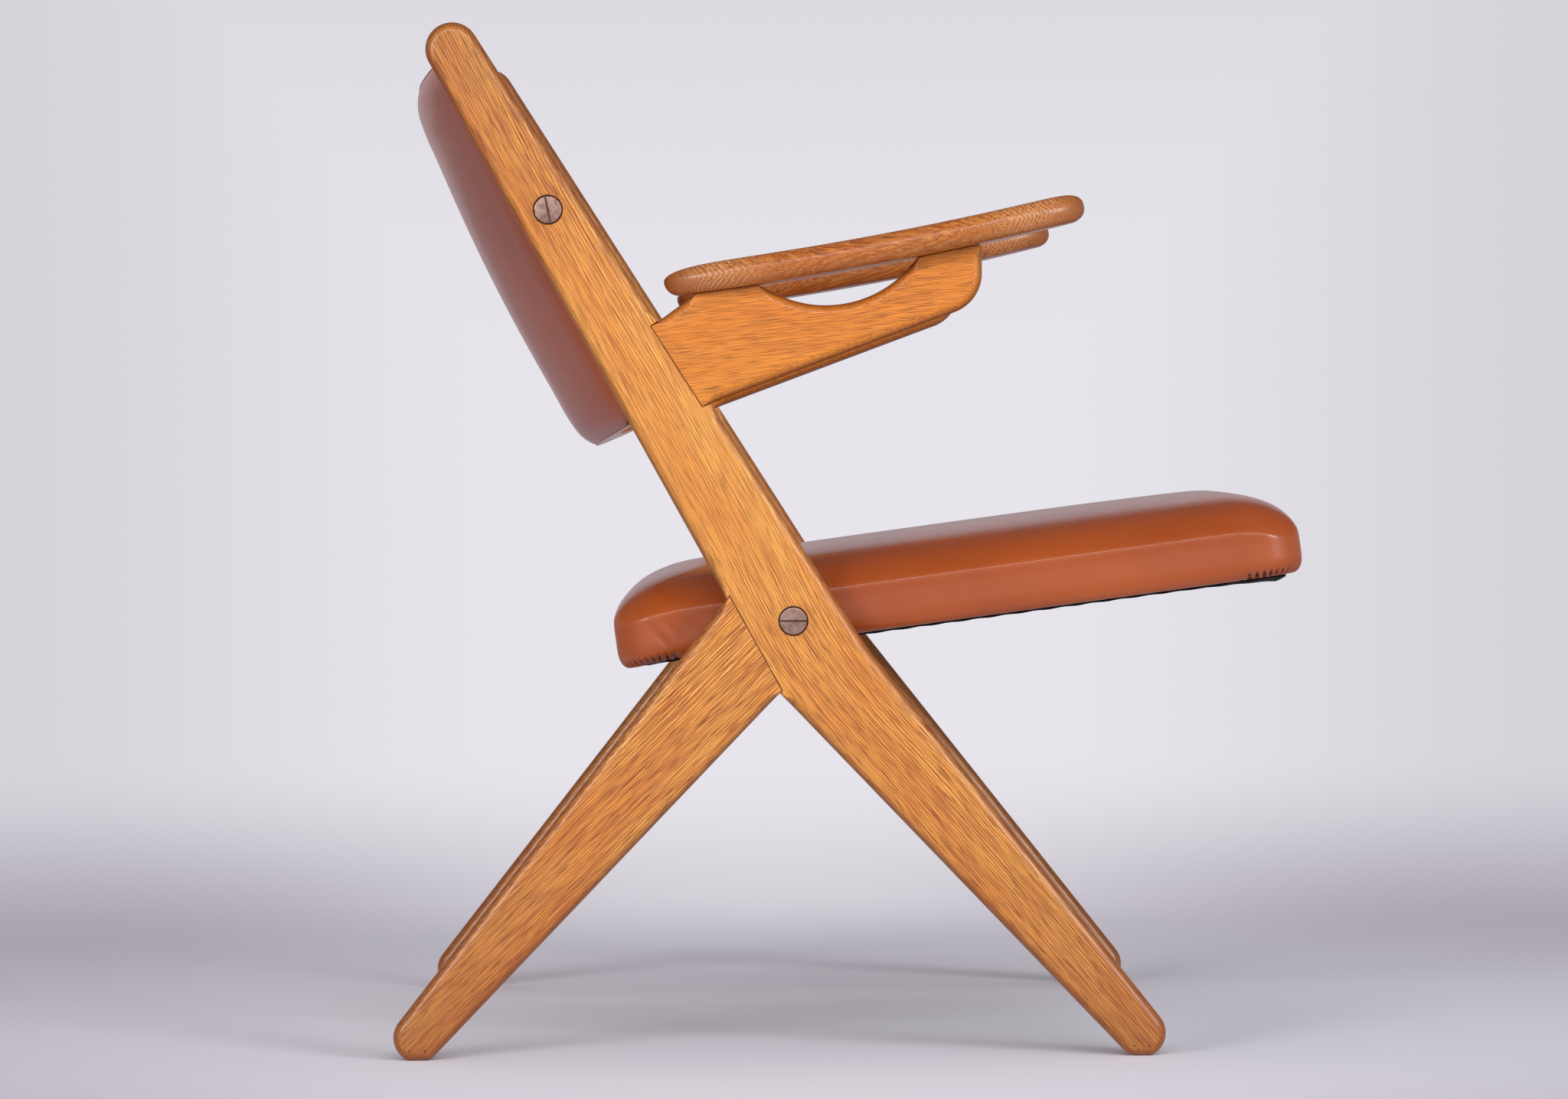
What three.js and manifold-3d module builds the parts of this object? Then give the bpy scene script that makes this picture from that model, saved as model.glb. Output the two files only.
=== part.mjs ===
// Lounge armchair: two crossed oak side frames carry a padded leather seat and a padded leather
// backrest that tilts on two bolts. Millimetres and degrees. +X is the front, +Z is up, +Y is the
// sitter's left, and the floor is Z = 0. The side frames are drawn in X and Z from the knee, the
// rear corner where the long board bends.

import * as THREE from 'three';
import { mergeVertices } from 'three/addons/utils/BufferGeometryUtils.js';
import loadManifold from 'manifold-3d';

// Whole chair
const OVERALL_HEIGHT = 780;
const INSIDE_WIDTH = 540; // between the two side frames
const BOARD_THICKNESS = 28;
const ROUND_OVER = 7.5; // radius worked on the long edges of the boards
const FIT_GAP = 0.3; // clearance left between touching pieces
const ROOT_LENGTH = 12; // drawn past a housed joint, whose plane trims it

// Upright and front leg, one bent board
const KNEE_HEIGHT = 275;
const KNEE_RADIUS = 8;
const KNEE_CENTRE_RISE = 2.7; // centre of the rounded knee, along the upright
const UPRIGHT_RAKE = 28.6; // rear edge, back from vertical
const UPRIGHT_TOP_RADIUS = 20;
const HIP_WIDTH = 73; // across the board at its bend
const HIP_RISE = 27.5; // bend of the front edge, above the knee along the board
const HIP_BLEND_RADIUS = 250;
const FOOT_RADIUS = 18.5;
const FOOT_SOLE_CUT = 1.6; // planed off each round foot to stand flat
const FRONT_FOOT_REACH = 271; // knee to the middle of the foot

// Rear leg
const REAR_FOOT_REACH = 273.5;
const REAR_LEG_HEAD = 83; // joint with the upright, up from the knee
const REAR_LEG_HOUSING = 3;
const REAR_DOWEL_RISES = [16, 38]; // up from the knee along the joint

// Arm bracket
const ARM_JOINT_HEIGHT = 524; // middle of the bracket's root, above the floor
const ARM_HOUSING = 6.5;
const BRACKET_ROOT_UP = 35; // root above and below its middle, along the upright
const BRACKET_ROOT_DOWN = 33;
const BRACKET_DOWEL_RISES = [-16, 18];
const BRACKET_NOSE_RADIUS = 31;
const BRACKET_NOSE_DROP = 18; // nose centre below the front pad
const SCOOP_RADIUS = 84;
const SCOOP_DEPTH = 24.4; // finger gap under the paddle
const SCOOP_BACK = 29.5; // middle of the scoop, behind the paddle's middle
const FRONT_PAD = { outer: 75.5, inner: 33, outerRadius: 3, innerRadius: 8 }; // along the paddle
const REAR_PAD = { outer: -136, inner: -91.5, outerRadius: 6, innerRadius: 2 };

// Arm paddle
const PADDLE_FORWARD = 144; // paddle's middle ahead of the arm joint
const PADDLE_RISE = 83; // and above it
const PADDLE_TILT = 10.1;
const PADDLE_SWEEP_RADIUS = 2500; // gentle upward curve along the arm
const PADDLE_LENGTH = 321;
const PADDLE_WIDTH = 82;
const PADDLE_THICKNESS = 22;
const PADDLE_FRONT_FLARE = 0.08; // wider in front than behind, as a share
const PADDLE_FULLNESS = 3; // higher is squarer in plan
const PADDLE_TOP_FALL = { rear: 8, front: 22 }; // higher keeps the top level nearer to the end

// Dowels
const FRAME_DOWEL_RADIUS = 5;
const REAR_DOWEL_HALF = 24;
const BRACKET_DOWEL_HALF = 22;
const PADDLE_DOWEL_RADIUS = 4;
const PADDLE_DOWEL_UP = 12;
const PADDLE_DOWEL_DOWN = 18;

// Bolts, washers, T-nuts, inserts and pins
const SEAT_BOLT_RISE = 42; // up from the knee along the upright
const BACK_BOLT_RISE = 401;
const BOLT_RADIUS = 4;
const BOLT_HEAD_RADIUS = 10.5;
const BOLT_HEAD_DEPTH = 5;
const BOLT_RECESS_RADIUS = 11.2;
const BOLT_SLOT_WIDTH = 2;
const BOLT_SLOT_DEPTH = 1.6;
const SEAT_SLOT_TURN = 0; // slot from level
const BACK_SLOT_TURN = 78;
const SPACER = 3; // side frame to upholstery
const WASHER_RADIUS = 12;
const TNUT_FLANGE_RADIUS = 11;
const TNUT_FLANGE = 1.6;
const TNUT_BARREL_RADIUS = 5.6;
const TNUT_BARREL = 12;
const INSERT_RADIUS = 6;
const INSERT_LENGTH = 16;
const PIN_RADIUS = 5;
const PIN_BEHIND = 57; // locating pin behind the seat bolt, along the seat
const PIN_BELOW = 3;
const PIN_DEPTH = 18; // into the rear leg

// Seat, drawn from its bolt
const SEAT_TILT = 7.4; // front up
const SEAT_REAR = 134.5; // behind the bolt
const SEAT_FRONT = 390; // ahead of it
const SEAT_UNDERSIDE = 17.2; // leather below the bolt
const SEAT_SHOULDER = 13; // side wall above the bolt
const SEAT_SHOULDER_RISE = 35.5;
const SEAT_SHOULDER_WIDTH = 48;
const SEAT_CROWN = 3;
const SEAT_CORNER_RADIUS = 32;
const SEAT_TUCK = 8; // side drawn in at the underside
const SEAT_TUCK_HEIGHT = 13;
const SEAT_TUCK_BULGE = { drawnIn: 0.33, height: 0.3 }; // shares of the tuck at its roundest
const LEATHER = 1.6;
const LEATHER_TURN_UNDER = 30; // flap below the rails
const RAIL_TOP = 13; // above the bolt
const RAIL_THICKNESS = 24;
const CORNER_BLOCK = 46;
const CORNER_BLOCK_DROP = 2; // below the rail's top
const STRAP_WIDTH = 52;
const STRAP_THICKNESS = 2;
const STRAP_COUNT = 5;
const STRAP_END = 8; // short of the leather at each end
const DUST_COVER = 1;
const DUST_COVER_INSET = 14;

// Backrest, drawn from its bolt
const BACK_RAKE = 26.2; // back from vertical
const BACK_ABOVE = 142; // edges above and below the bolt
const BACK_BELOW = 171;
const BACK_CORNER_RADIUS = 38;
const BACK_EDGE = 10; // half of the edge's thickness
const BACK_SIDE_SETBACK = 2; // middle of the edge behind the bolt, at the sides
const BACK_HOLLOW = 42.5; // how far the panel bows rearwards
const BACK_FRONT_SHOULDER = { rise: 6, width: 35 };
const BACK_REAR_SHOULDER = { rise: 7, width: 25 };
const BACK_FRONT_CROWN = 16;
const BACK_REAR_CROWN = 15.5;
const BACK_SEAM = -9; // seam behind the middle of the edge
const PANEL_THICKNESS = 8;
const PANEL_MARGIN = 12; // short of the leather above and below
const STILE_WIDTH = 33;
const STILE_AHEAD = 12; // of the bolt
const STILE_BEHIND = 20;
const STILE_GROOVE = 12;

// Fineness of the facets
const CURVE_ERROR = 0.25; // between an arc and its chords
const EDGE_STEPS = 2;
const PEG_SIDES = 12;
const BOLT_SIDES = 16;
const PAD_STEPS = 6; // from the middle of a cushion to its rim
const SPINE_STEPS = 12;
const PADDLE_STATIONS = 16;
const PADDLE_EDGE_STEPS = 3;
const CUTTER = 1000; // larger than the chair
const OVERRUN = 1; // of a cutter past the face that it opens
const WELD = 1e-4;

const wasm = await loadManifold();
wasm.setup();
const { Manifold, Mesh } = wasm;

const FINISHES = {
  oak: { color: 0xc8843f, roughness: 0.5, metalness: 0 },
  beech: { color: 0xd2b48c, roughness: 0.7, metalness: 0 },
  plywood: { color: 0xc9a877, roughness: 0.7, metalness: 0 },
  leather: { color: 0x9a4a22, roughness: 0.42, metalness: 0 },
  foam: { color: 0xe6d9a8, roughness: 0.95, metalness: 0 },
  webbing: { color: 0x8a7a5c, roughness: 0.9, metalness: 0 },
  black_cloth: { color: 0x18171a, roughness: 0.95, metalness: 0 },
  bronze: { color: 0x6b5140, roughness: 0.45, metalness: 0.9 },
  steel: { color: 0x9a9ca0, roughness: 0.4, metalness: 0.9 },
};

const X = new THREE.Vector3(1, 0, 0);
const Y = new THREE.Vector3(0, 1, 0);
const radians = THREE.MathUtils.degToRad;
const ends = [-1, 1];

// Plain helpers for solids

function withoutSlivers(index) {
  const kept = [];
  for (let i = 0; i < index.length; i += 3) {
    const [a, b, c] = index.subarray(i, i + 3);
    if (a !== b && b !== c && c !== a) kept.push(a, b, c);
  }
  return kept;
}

function signedVolume(corners) {
  let total = 0;
  for (let i = 0; i < corners.length; i += 3) {
    total += corners[i].dot(new THREE.Vector3().crossVectors(corners[i + 1], corners[i + 2]));
  }
  return total / 6;
}

// Closed solid from a list of triangle corners, turned to face out.
function solidOf(corners) {
  const outward = signedVolume(corners) < 0 ? [...corners].reverse() : corners;
  const welded = mergeVertices(new THREE.BufferGeometry().setFromPoints(outward), WELD);
  const vertProperties = new Float32Array(welded.attributes.position.array);
  const triVerts = new Uint32Array(withoutSlivers(welded.index.array));
  return new Manifold(new Mesh({ numProp: 3, vertProperties, triVerts }));
}

function solidOfGeometry(geometry) {
  const loose = geometry.index ? geometry.toNonIndexed() : geometry;
  const place = loose.attributes.position;
  const corner = (_, i) => new THREE.Vector3().fromBufferAttribute(place, i);
  return solidOf(Array.from({ length: place.count }, corner));
}

function geometryOf(solid) {
  const { vertProperties, triVerts } = solid.getMesh();
  const geometry = new THREE.BufferGeometry();
  geometry.setAttribute('position', new THREE.BufferAttribute(new Float32Array(vertProperties), 3));
  geometry.setIndex([...triVerts]);
  geometry.computeVertexNormals();
  return geometry;
}

function cut(solid, ...tools) {
  return tools.reduce((left, tool) => left.subtract(tool), solid);
}

function box(low, high) {
  const size = high.clone().sub(low);
  const middle = high.clone().add(low).multiplyScalar(0.5);
  const geometry = new THREE.BoxGeometry(size.x, size.y, size.z);
  return solidOfGeometry(geometry.translate(middle.x, middle.y, middle.z));
}

// Cylinder between two points.
function peg(from, to, radius, sides = PEG_SIDES) {
  const along = to.clone().sub(from);
  const middle = to.clone().add(from).multiplyScalar(0.5);
  const geometry = new THREE.CylinderGeometry(radius, radius, along.length(), sides);
  geometry.applyQuaternion(new THREE.Quaternion().setFromUnitVectors(Y, along.normalize()));
  return solidOfGeometry(geometry.translate(middle.x, middle.y, middle.z));
}

// Solid turned about Y from a profile of [radius, place along Y], inner end first.
function turned(profile, sides = BOLT_SIDES) {
  const points = profile.map(([radius, y]) => new THREE.Vector2(radius, y));
  return solidOfGeometry(new THREE.LatheGeometry(points, sides));
}

// Everything beyond a plane through `point`, on the side that `direction` points to.
function beyond(point, direction) {
  const geometry = new THREE.BoxGeometry(CUTTER, CUTTER, CUTTER).translate(CUTTER / 2, 0, 0);
  geometry.applyQuaternion(new THREE.Quaternion().setFromUnitVectors(X, direction));
  return solidOfGeometry(geometry.translate(point.x, point.y, point.z));
}

// Triangles between neighbouring rows of points, facing out where rows turn left as they rise.
function patch(rows) {
  const corners = [];
  for (let i = 0; i + 1 < rows.length; i += 1) {
    for (let j = 0; j + 1 < rows[i].length; j += 1) {
      const [a, b, c, d] = [rows[i][j], rows[i + 1][j], rows[i + 1][j + 1], rows[i][j + 1]];
      corners.push(a, b, c, a, c, d);
    }
  }
  return corners;
}

const looped = (ring) => [...ring, ring[0]];
const flipped = (corners) => [...corners].reverse();

// Flat plate of one outline in X and Y, from `low` to `high`.
function plate(outline, low, high) {
  const shape = new THREE.Shape(outline);
  const geometry = new THREE.ExtrudeGeometry(shape, { depth: high - low, bevelEnabled: false });
  return solidOfGeometry(geometry.translate(0, 0, low));
}

// Outlines of the boards

function arcSteps(radius, turn) {
  const step = 2 * Math.acos(1 - Math.min(1, CURVE_ERROR / Math.max(Math.abs(radius), CURVE_ERROR)));
  return Math.max(1, Math.ceil(Math.abs(turn) / step));
}

// Outline of a belt run counter-clockwise round circles [x, z, radius]. A negative radius hollows
// the outline. `inset` draws the whole outline in, and a corner smaller than that turns sharp.
function belt(circles, inset = 0) {
  const count = circles.length;
  const headings = circles.map(([x, z, radius], i) => {
    const [nextX, nextZ, nextRadius] = circles[(i + 1) % count];
    const slip = Math.asin((nextRadius - radius) / Math.hypot(nextX - x, nextZ - z));
    return Math.atan2(nextZ - z, nextX - x) - slip;
  });
  return circles.flatMap(([x, z, radius], i) => {
    const arrive = headings[(i + count - 1) % count];
    const turn = THREE.MathUtils.euclideanModulo(headings[i] - arrive + Math.PI, 2 * Math.PI) - Math.PI;
    const left = radius - inset;
    const sharp = left * turn < 0;
    const reach = sharp ? left / Math.cos(turn / 2) : left;
    const steps = arcSteps(radius, turn);
    return Array.from({ length: steps + 1 }, (_, k) => {
      const angle = arrive + turn * (sharp ? 0.5 : k / steps);
      return new THREE.Vector2(x + reach * Math.sin(angle), z - reach * Math.cos(angle));
    });
  });
}

// Board of one outline, centred on Y = 0, with both faces' edges rounded over.
function board(circles, thickness, roundOver = 0, grow = 0) {
  const steps = roundOver > 0 ? EDGE_STEPS : 0;
  const edge = Array.from({ length: steps + 1 }, (_, k) => {
    const angle = steps > 0 ? (k / steps) * (Math.PI / 2) : 0;
    const inset = steps > 0 ? roundOver * (1 - Math.sin(angle)) : 0;
    return { inset: inset - grow, y: thickness / 2 - roundOver * (1 - Math.cos(angle)) };
  });
  const levels = [...edge.map(({ inset, y }) => ({ inset, y: -y })), ...edge.reverse()];
  const rings = levels.map(({ inset, y }) => belt(circles, inset).map((p) => new THREE.Vector3(p.x, y, p.y)));
  const face = belt(circles, levels[0].inset);
  const triangles = THREE.ShapeUtils.triangulateShape(face, []).flat();
  const near = triangles.map((i) => rings[0][i]);
  const far = flipped(triangles.map((i) => rings[rings.length - 1][i]));
  return solidOf([...near, ...patch(rings.map(looped)), ...far]);
}

// Places on the side frame

const knee = new THREE.Vector3(0, 0, KNEE_HEIGHT);
const rake = radians(UPRIGHT_RAKE);
const alongUpright = new THREE.Vector3(-Math.sin(rake), 0, Math.cos(rake));
const acrossUpright = new THREE.Vector3(Math.cos(rake), 0, Math.sin(rake));
const from = (origin, ...steps) => steps.reduce(
  (place, [direction, distance]) => place.addScaledVector(direction, distance), origin.clone());
const onUpright = (rise, across) => from(knee, [alongUpright, rise], [acrossUpright, across]);

const topRise = (OVERALL_HEIGHT - UPRIGHT_TOP_RADIUS - KNEE_HEIGHT - UPRIGHT_TOP_RADIUS * acrossUpright.z)
  / alongUpright.z;
const uprightTop = onUpright(topRise, UPRIGHT_TOP_RADIUS);
const footHeight = FOOT_RADIUS - FOOT_SOLE_CUT;
const kneeCentre = onUpright(KNEE_CENTRE_RISE, KNEE_RADIUS);
const hip = onUpright(HIP_RISE, HIP_WIDTH + HIP_BLEND_RADIUS);

const UPRIGHT = [
  [FRONT_FOOT_REACH, footHeight, FOOT_RADIUS],
  [hip.x, hip.z, -HIP_BLEND_RADIUS],
  [uprightTop.x, uprightTop.z, UPRIGHT_TOP_RADIUS],
  [kneeCentre.x, kneeCentre.z, KNEE_RADIUS],
];

// The upright's front edge is the straight run of its outline from the hip to the top.
const hipSteps = new THREE.Vector2(uprightTop.x - hip.x, uprightTop.z - hip.z);
const frontHeading = hipSteps.angle()
  - Math.asin((UPRIGHT_TOP_RADIUS + HIP_BLEND_RADIUS) / hipSteps.length());
const alongFront = new THREE.Vector3(Math.cos(frontHeading), 0, Math.sin(frontHeading));
const acrossFront = new THREE.Vector3(alongFront.z, 0, -alongFront.x);
const frontStart = from(hip, [acrossFront, -HIP_BLEND_RADIUS]);
const frontEdgeAt = (height) => from(frontStart, [alongFront, (height - frontStart.z) / alongFront.z]);

// Middle of the upright's width at a place along its rear edge.
function uprightMiddle(rise) {
  const rear = onUpright(rise, 0);
  const toFront = frontStart.clone().sub(rear).dot(acrossFront) / acrossUpright.dot(acrossFront);
  return from(rear, [acrossUpright, toFront / 2]);
}

const seatBolt = uprightMiddle(SEAT_BOLT_RISE);
const backBolt = uprightMiddle(BACK_BOLT_RISE);
const armJoint = frontEdgeAt(ARM_JOINT_HEIGHT);

// Place on the arm paddle: `along` its curved middle line, `above` it.
const paddleMiddle = new THREE.Vector3(armJoint.x + PADDLE_FORWARD, 0, armJoint.z + PADDLE_RISE);
function onPaddle(along, above, aside = 0) {
  const start = radians(PADDLE_TILT);
  const slope = start + along / PADDLE_SWEEP_RADIUS;
  const swept = PADDLE_SWEEP_RADIUS - above;
  return new THREE.Vector3(
    paddleMiddle.x + swept * Math.sin(slope) - PADDLE_SWEEP_RADIUS * Math.sin(start),
    aside,
    paddleMiddle.z - swept * Math.cos(slope) + PADDLE_SWEEP_RADIUS * Math.cos(start),
  );
}

const rearLegLine = new THREE.Vector3(REAR_FOOT_REACH, 0, KNEE_HEIGHT - footHeight).normalize();
const rearRoot = (rise) => {
  const deep = REAR_LEG_HOUSING + ROOT_LENGTH;
  const slant = rearLegLine.dot(alongUpright) / rearLegLine.dot(acrossUpright);
  return onUpright(rise + deep * slant, deep);
};
const rearHeel = rearRoot(0);
const rearCrown = rearRoot(REAR_LEG_HEAD);

const REAR_LEG = [
  [-REAR_FOOT_REACH, footHeight, FOOT_RADIUS],
  [rearHeel.x, rearHeel.z, 0],
  [rearCrown.x, rearCrown.z, 0],
];

const bracketRoot = (rise) => (
  from(armJoint, [alongFront, rise], [acrossFront, -ARM_HOUSING - ROOT_LENGTH]));
const rootBelow = bracketRoot(-BRACKET_ROOT_DOWN);
const rootAbove = bracketRoot(BRACKET_ROOT_UP);
const padCorner = (along, radius) => {
  const place = onPaddle(along, -PADDLE_THICKNESS / 2 - FIT_GAP - radius);
  return [place.x, place.z, radius];
};
const frontPadCorner = padCorner(FRONT_PAD.outer, FRONT_PAD.outerRadius);
const noseX = frontPadCorner[0] + FRONT_PAD.outerRadius - BRACKET_NOSE_RADIUS;
const scoop = onPaddle(-SCOOP_BACK, SCOOP_RADIUS - SCOOP_DEPTH - PADDLE_THICKNESS / 2);

const BRACKET = [
  [rootBelow.x, rootBelow.z, 0],
  [noseX, frontPadCorner[1] - BRACKET_NOSE_DROP, BRACKET_NOSE_RADIUS],
  frontPadCorner,
  padCorner(FRONT_PAD.inner, FRONT_PAD.innerRadius),
  [scoop.x, scoop.z, -SCOOP_RADIUS],
  padCorner(REAR_PAD.inner, REAR_PAD.innerRadius),
  padCorner(REAR_PAD.outer, REAR_PAD.outerRadius),
  [rootAbove.x, rootAbove.z, 0],
];

// Joints of the side frame

const rearJoint = { plane: onUpright(0, REAR_LEG_HOUSING), into: acrossUpright, along: alongUpright };
const bracketJoint = {
  plane: from(armJoint, [acrossFront, -ARM_HOUSING]), into: acrossFront.clone().negate(), along: alongFront,
};

// Piece of a board's outline trimmed flat where it is housed in the upright.
function housed(circles, joint, roundOver, grow) {
  const thickness = roundOver > 0 ? BOARD_THICKNESS : BOARD_THICKNESS + 2 * ROUND_OVER;
  const end = beyond(from(joint.plane, [joint.into, grow]), joint.into);
  return cut(board(circles, thickness, roundOver, grow), end);
}

// Stretch of the upright beside a joint, where its edge is left square.
function squareBeside(joint, low, high) {
  const turn = Math.atan2(joint.along.x, joint.along.z);
  const geometry = new THREE.BoxGeometry(2 * (ROUND_OVER + ARM_HOUSING), CUTTER, high - low);
  geometry.rotateY(turn);
  const middle = from(joint.plane, [joint.along, (low + high) / 2]);
  const region = solidOfGeometry(geometry.translate(middle.x, middle.y, middle.z));
  return board(UPRIGHT, BOARD_THICKNESS).intersect(region);
}

const dowelAcross = (joint, rise, half) => ends.map((end) => (
  from(joint.plane, [joint.along, rise], [joint.into, end * half])));
const rearDowels = REAR_DOWEL_RISES.map((rise) => dowelAcross(rearJoint, rise, REAR_DOWEL_HALF));
const bracketDowels = BRACKET_DOWEL_RISES.map((rise) => dowelAcross(bracketJoint, rise, BRACKET_DOWEL_HALF));
const padMiddles = [REAR_PAD, FRONT_PAD].map((pad) => (pad.outer + pad.inner) / 2);
const paddleDowels = padMiddles.map((along) => [
  onPaddle(along, -PADDLE_THICKNESS / 2 - PADDLE_DOWEL_DOWN),
  onPaddle(along, -PADDLE_THICKNESS / 2 + PADDLE_DOWEL_UP),
]);

// Bore for a dowel, a clearance larger all round.
function bore([start, end], radius) {
  const along = end.clone().sub(start).normalize();
  return peg(from(start, [along, -FIT_GAP]), from(end, [along, FIT_GAP]), radius + FIT_GAP);
}
const frameBores = (dowels) => dowels.map((dowel) => bore(dowel, FRAME_DOWEL_RADIUS));
const paddleBores = () => paddleDowels.map((dowel) => bore(dowel, PADDLE_DOWEL_RADIUS));

// Distances along Y from the chair's middle plane
const innerFace = INSIDE_WIDTH / 2;
const outerFace = innerFace + BOARD_THICKNESS;
const boardMiddle = innerFace + BOARD_THICKNESS / 2;
const padSide = innerFace - SPACER;
const coreSide = padSide - LEATHER - FIT_GAP;
const underHead = outerFace - BOLT_HEAD_DEPTH;

// Place of the locating pin, from the seat bolt along the tilted seat
const tilt = radians(SEAT_TILT);
const alongSeat = new THREE.Vector3(Math.cos(tilt), 0, Math.sin(tilt));
const aboveSeat = new THREE.Vector3(-Math.sin(tilt), 0, Math.cos(tilt));
const seatPin = from(seatBolt, [alongSeat, -PIN_BEHIND], [aboveSeat, -PIN_BELOW]);

// Hole along Y at a place in X and Z.
function crossHole(place, radius, low, high) {
  const start = new THREE.Vector3(place.x, low, place.z);
  const end = new THREE.Vector3(place.x, high, place.z);
  return peg(start, end, radius, BOLT_SIDES);
}

const floor = () => beyond(new THREE.Vector3(0, 0, 0), new THREE.Vector3(0, 0, -1));

// Boards of one side frame; `side` is -1 for the right and 1 for the left.

function uprightSolid(side) {
  const rounded = board(UPRIGHT, BOARD_THICKNESS, ROUND_OVER);
  const joints = [squareBeside(rearJoint, 0, REAR_LEG_HEAD),
    squareBeside(bracketJoint, -BRACKET_ROOT_DOWN, BRACKET_ROOT_UP)];
  const solid = joints.reduce((whole, joint) => whole.add(joint), rounded);
  const half = BOARD_THICKNESS / 2;
  const boltHoles = [seatBolt, backBolt].flatMap((bolt) => [
    crossHole(bolt, BOLT_RADIUS + FIT_GAP, -BOARD_THICKNESS, BOARD_THICKNESS),
    crossHole(bolt, BOLT_RECESS_RADIUS, side * (half - BOLT_HEAD_DEPTH - FIT_GAP), side * BOARD_THICKNESS),
  ]);
  return cut(solid, housed(REAR_LEG, rearJoint, 0, FIT_GAP), housed(BRACKET, bracketJoint, 0, FIT_GAP),
    ...frameBores(rearDowels), ...frameBores(bracketDowels), ...boltHoles, floor());
}

function rearLegSolid(side) {
  const half = BOARD_THICKNESS / 2;
  const pinHole = crossHole(seatPin, PIN_RADIUS + FIT_GAP, -side * BOARD_THICKNESS,
    side * (PIN_DEPTH + FIT_GAP - half));
  return cut(housed(REAR_LEG, rearJoint, ROUND_OVER, 0), ...frameBores(rearDowels), pinHole, floor());
}

function bracketSolid() {
  return cut(housed(BRACKET, bracketJoint, ROUND_OVER, 0), ...frameBores(bracketDowels), ...paddleBores());
}

// The paddle's half width at a share of its length, from -1 at the rear to 1, and how far it
// stands above and below its middle line. The top falls away towards the ends.
function paddleSection(share) {
  const full = Math.max(0, 1 - Math.abs(share) ** PADDLE_FULLNESS) ** (1 / PADDLE_FULLNESS);
  const toEnd = Math.min(1, ((1 - Math.abs(share)) * PADDLE_LENGTH) / PADDLE_THICKNESS);
  const fall = share < 0 ? PADDLE_TOP_FALL.rear : PADDLE_TOP_FALL.front;
  return {
    wide: (PADDLE_WIDTH / 2) * full * (1 + PADDLE_FRONT_FLARE * share),
    above: (PADDLE_THICKNESS / 2) * Math.sqrt(Math.max(0, 1 - Math.abs(share) ** fall)),
    below: (PADDLE_THICKNESS / 2) * Math.sqrt(1 - (1 - toEnd) ** 2),
  };
}

// One ring round the paddle: flat above and below, with round edges.
function paddleRing(share) {
  const { wide, above, below } = paddleSection(share);
  const edge = Math.min(wide, above);
  return ends.flatMap((end) => Array.from({ length: PADDLE_EDGE_STEPS + 1 }, (_, k) => {
    const angle = Math.PI * (k / PADDLE_EDGE_STEPS - 0.5);
    const height = end * Math.sin(angle);
    return onPaddle((share * PADDLE_LENGTH) / 2, height * (height > 0 ? above : below),
      end * (wide - edge + edge * Math.cos(angle)));
  }));
}

function paddleSolid() {
  const rings = Array.from({ length: PADDLE_STATIONS + 1 }, (_, k) => (
    paddleRing(-Math.cos((Math.PI * k) / PADDLE_STATIONS))));
  return cut(solidOf(patch(rings.map(looped))), ...paddleBores());
}

// Fastenings, turned about Y with the outer end up

const boltClear = BOLT_RADIUS + FIT_GAP;

function boltSolid(innerEnd, slotTurn) {
  const crown = outerFace - FIT_GAP;
  const bevel = BOLT_SLOT_DEPTH / 2;
  const solid = turned([[0, innerEnd], [BOLT_RADIUS, innerEnd], [BOLT_RADIUS, underHead],
    [BOLT_HEAD_RADIUS, underHead], [BOLT_HEAD_RADIUS, crown - bevel], [BOLT_HEAD_RADIUS - bevel, crown],
    [0, crown]]);
  const slot = new THREE.BoxGeometry(2 * (BOLT_HEAD_RADIUS + OVERRUN), 2 * BOLT_SLOT_DEPTH, BOLT_SLOT_WIDTH);
  slot.rotateY(-radians(slotTurn));
  return cut(solid, solidOfGeometry(slot.translate(0, crown, 0)));
}

function sleeveSolid(profile) {
  return turned([...profile, profile[0]]);
}

// Plain ring on the bolt, from `inner` to `outer` along it.
function ringSolid(radius, inner, outer) {
  return sleeveSolid([[boltClear, inner], [radius, inner], [radius, outer], [boltClear, outer]]);
}

function washerSolid() {
  return ringSolid(WASHER_RADIUS, padSide + FIT_GAP, innerFace - FIT_GAP);
}

const railInner = coreSide - RAIL_THICKNESS;

function tnutSolid() {
  const seat = railInner - FIT_GAP;
  const back = seat - TNUT_FLANGE;
  const tip = seat + TNUT_BARREL;
  return sleeveSolid([[boltClear, back], [TNUT_FLANGE_RADIUS, back], [TNUT_FLANGE_RADIUS, seat],
    [TNUT_BARREL_RADIUS, seat], [TNUT_BARREL_RADIUS, tip], [boltClear, tip]]);
}

function insertSolid() {
  const outer = coreSide - FIT_GAP;
  return ringSolid(INSERT_RADIUS, outer - INSERT_LENGTH, outer);
}

// Cushion forms

// Quarter-ellipse shoulder, from 0 at the rim to 1 at its full width.
function shoulder(distance, width) {
  const left = 1 - Math.min(1, Math.max(0, distance) / width);
  return Math.sqrt(1 - left * left);
}

// Point of a rectangle moved so that the rectangle's corners become round.
function roundCorner(x, y, halfX, halfY, radius) {
  const i = (Math.abs(x) - halfX + radius) / radius;
  const j = (Math.abs(y) - halfY + radius) / radius;
  if (i <= 0 || j <= 0) return [x, y];
  const roundX = halfX - radius + radius * i * Math.sqrt(1 - (j * j) / 2);
  const roundY = halfY - radius + radius * j * Math.sqrt(1 - (i * i) / 2);
  return [Math.sign(x) * roundX, Math.sign(y) * roundY];
}

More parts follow.
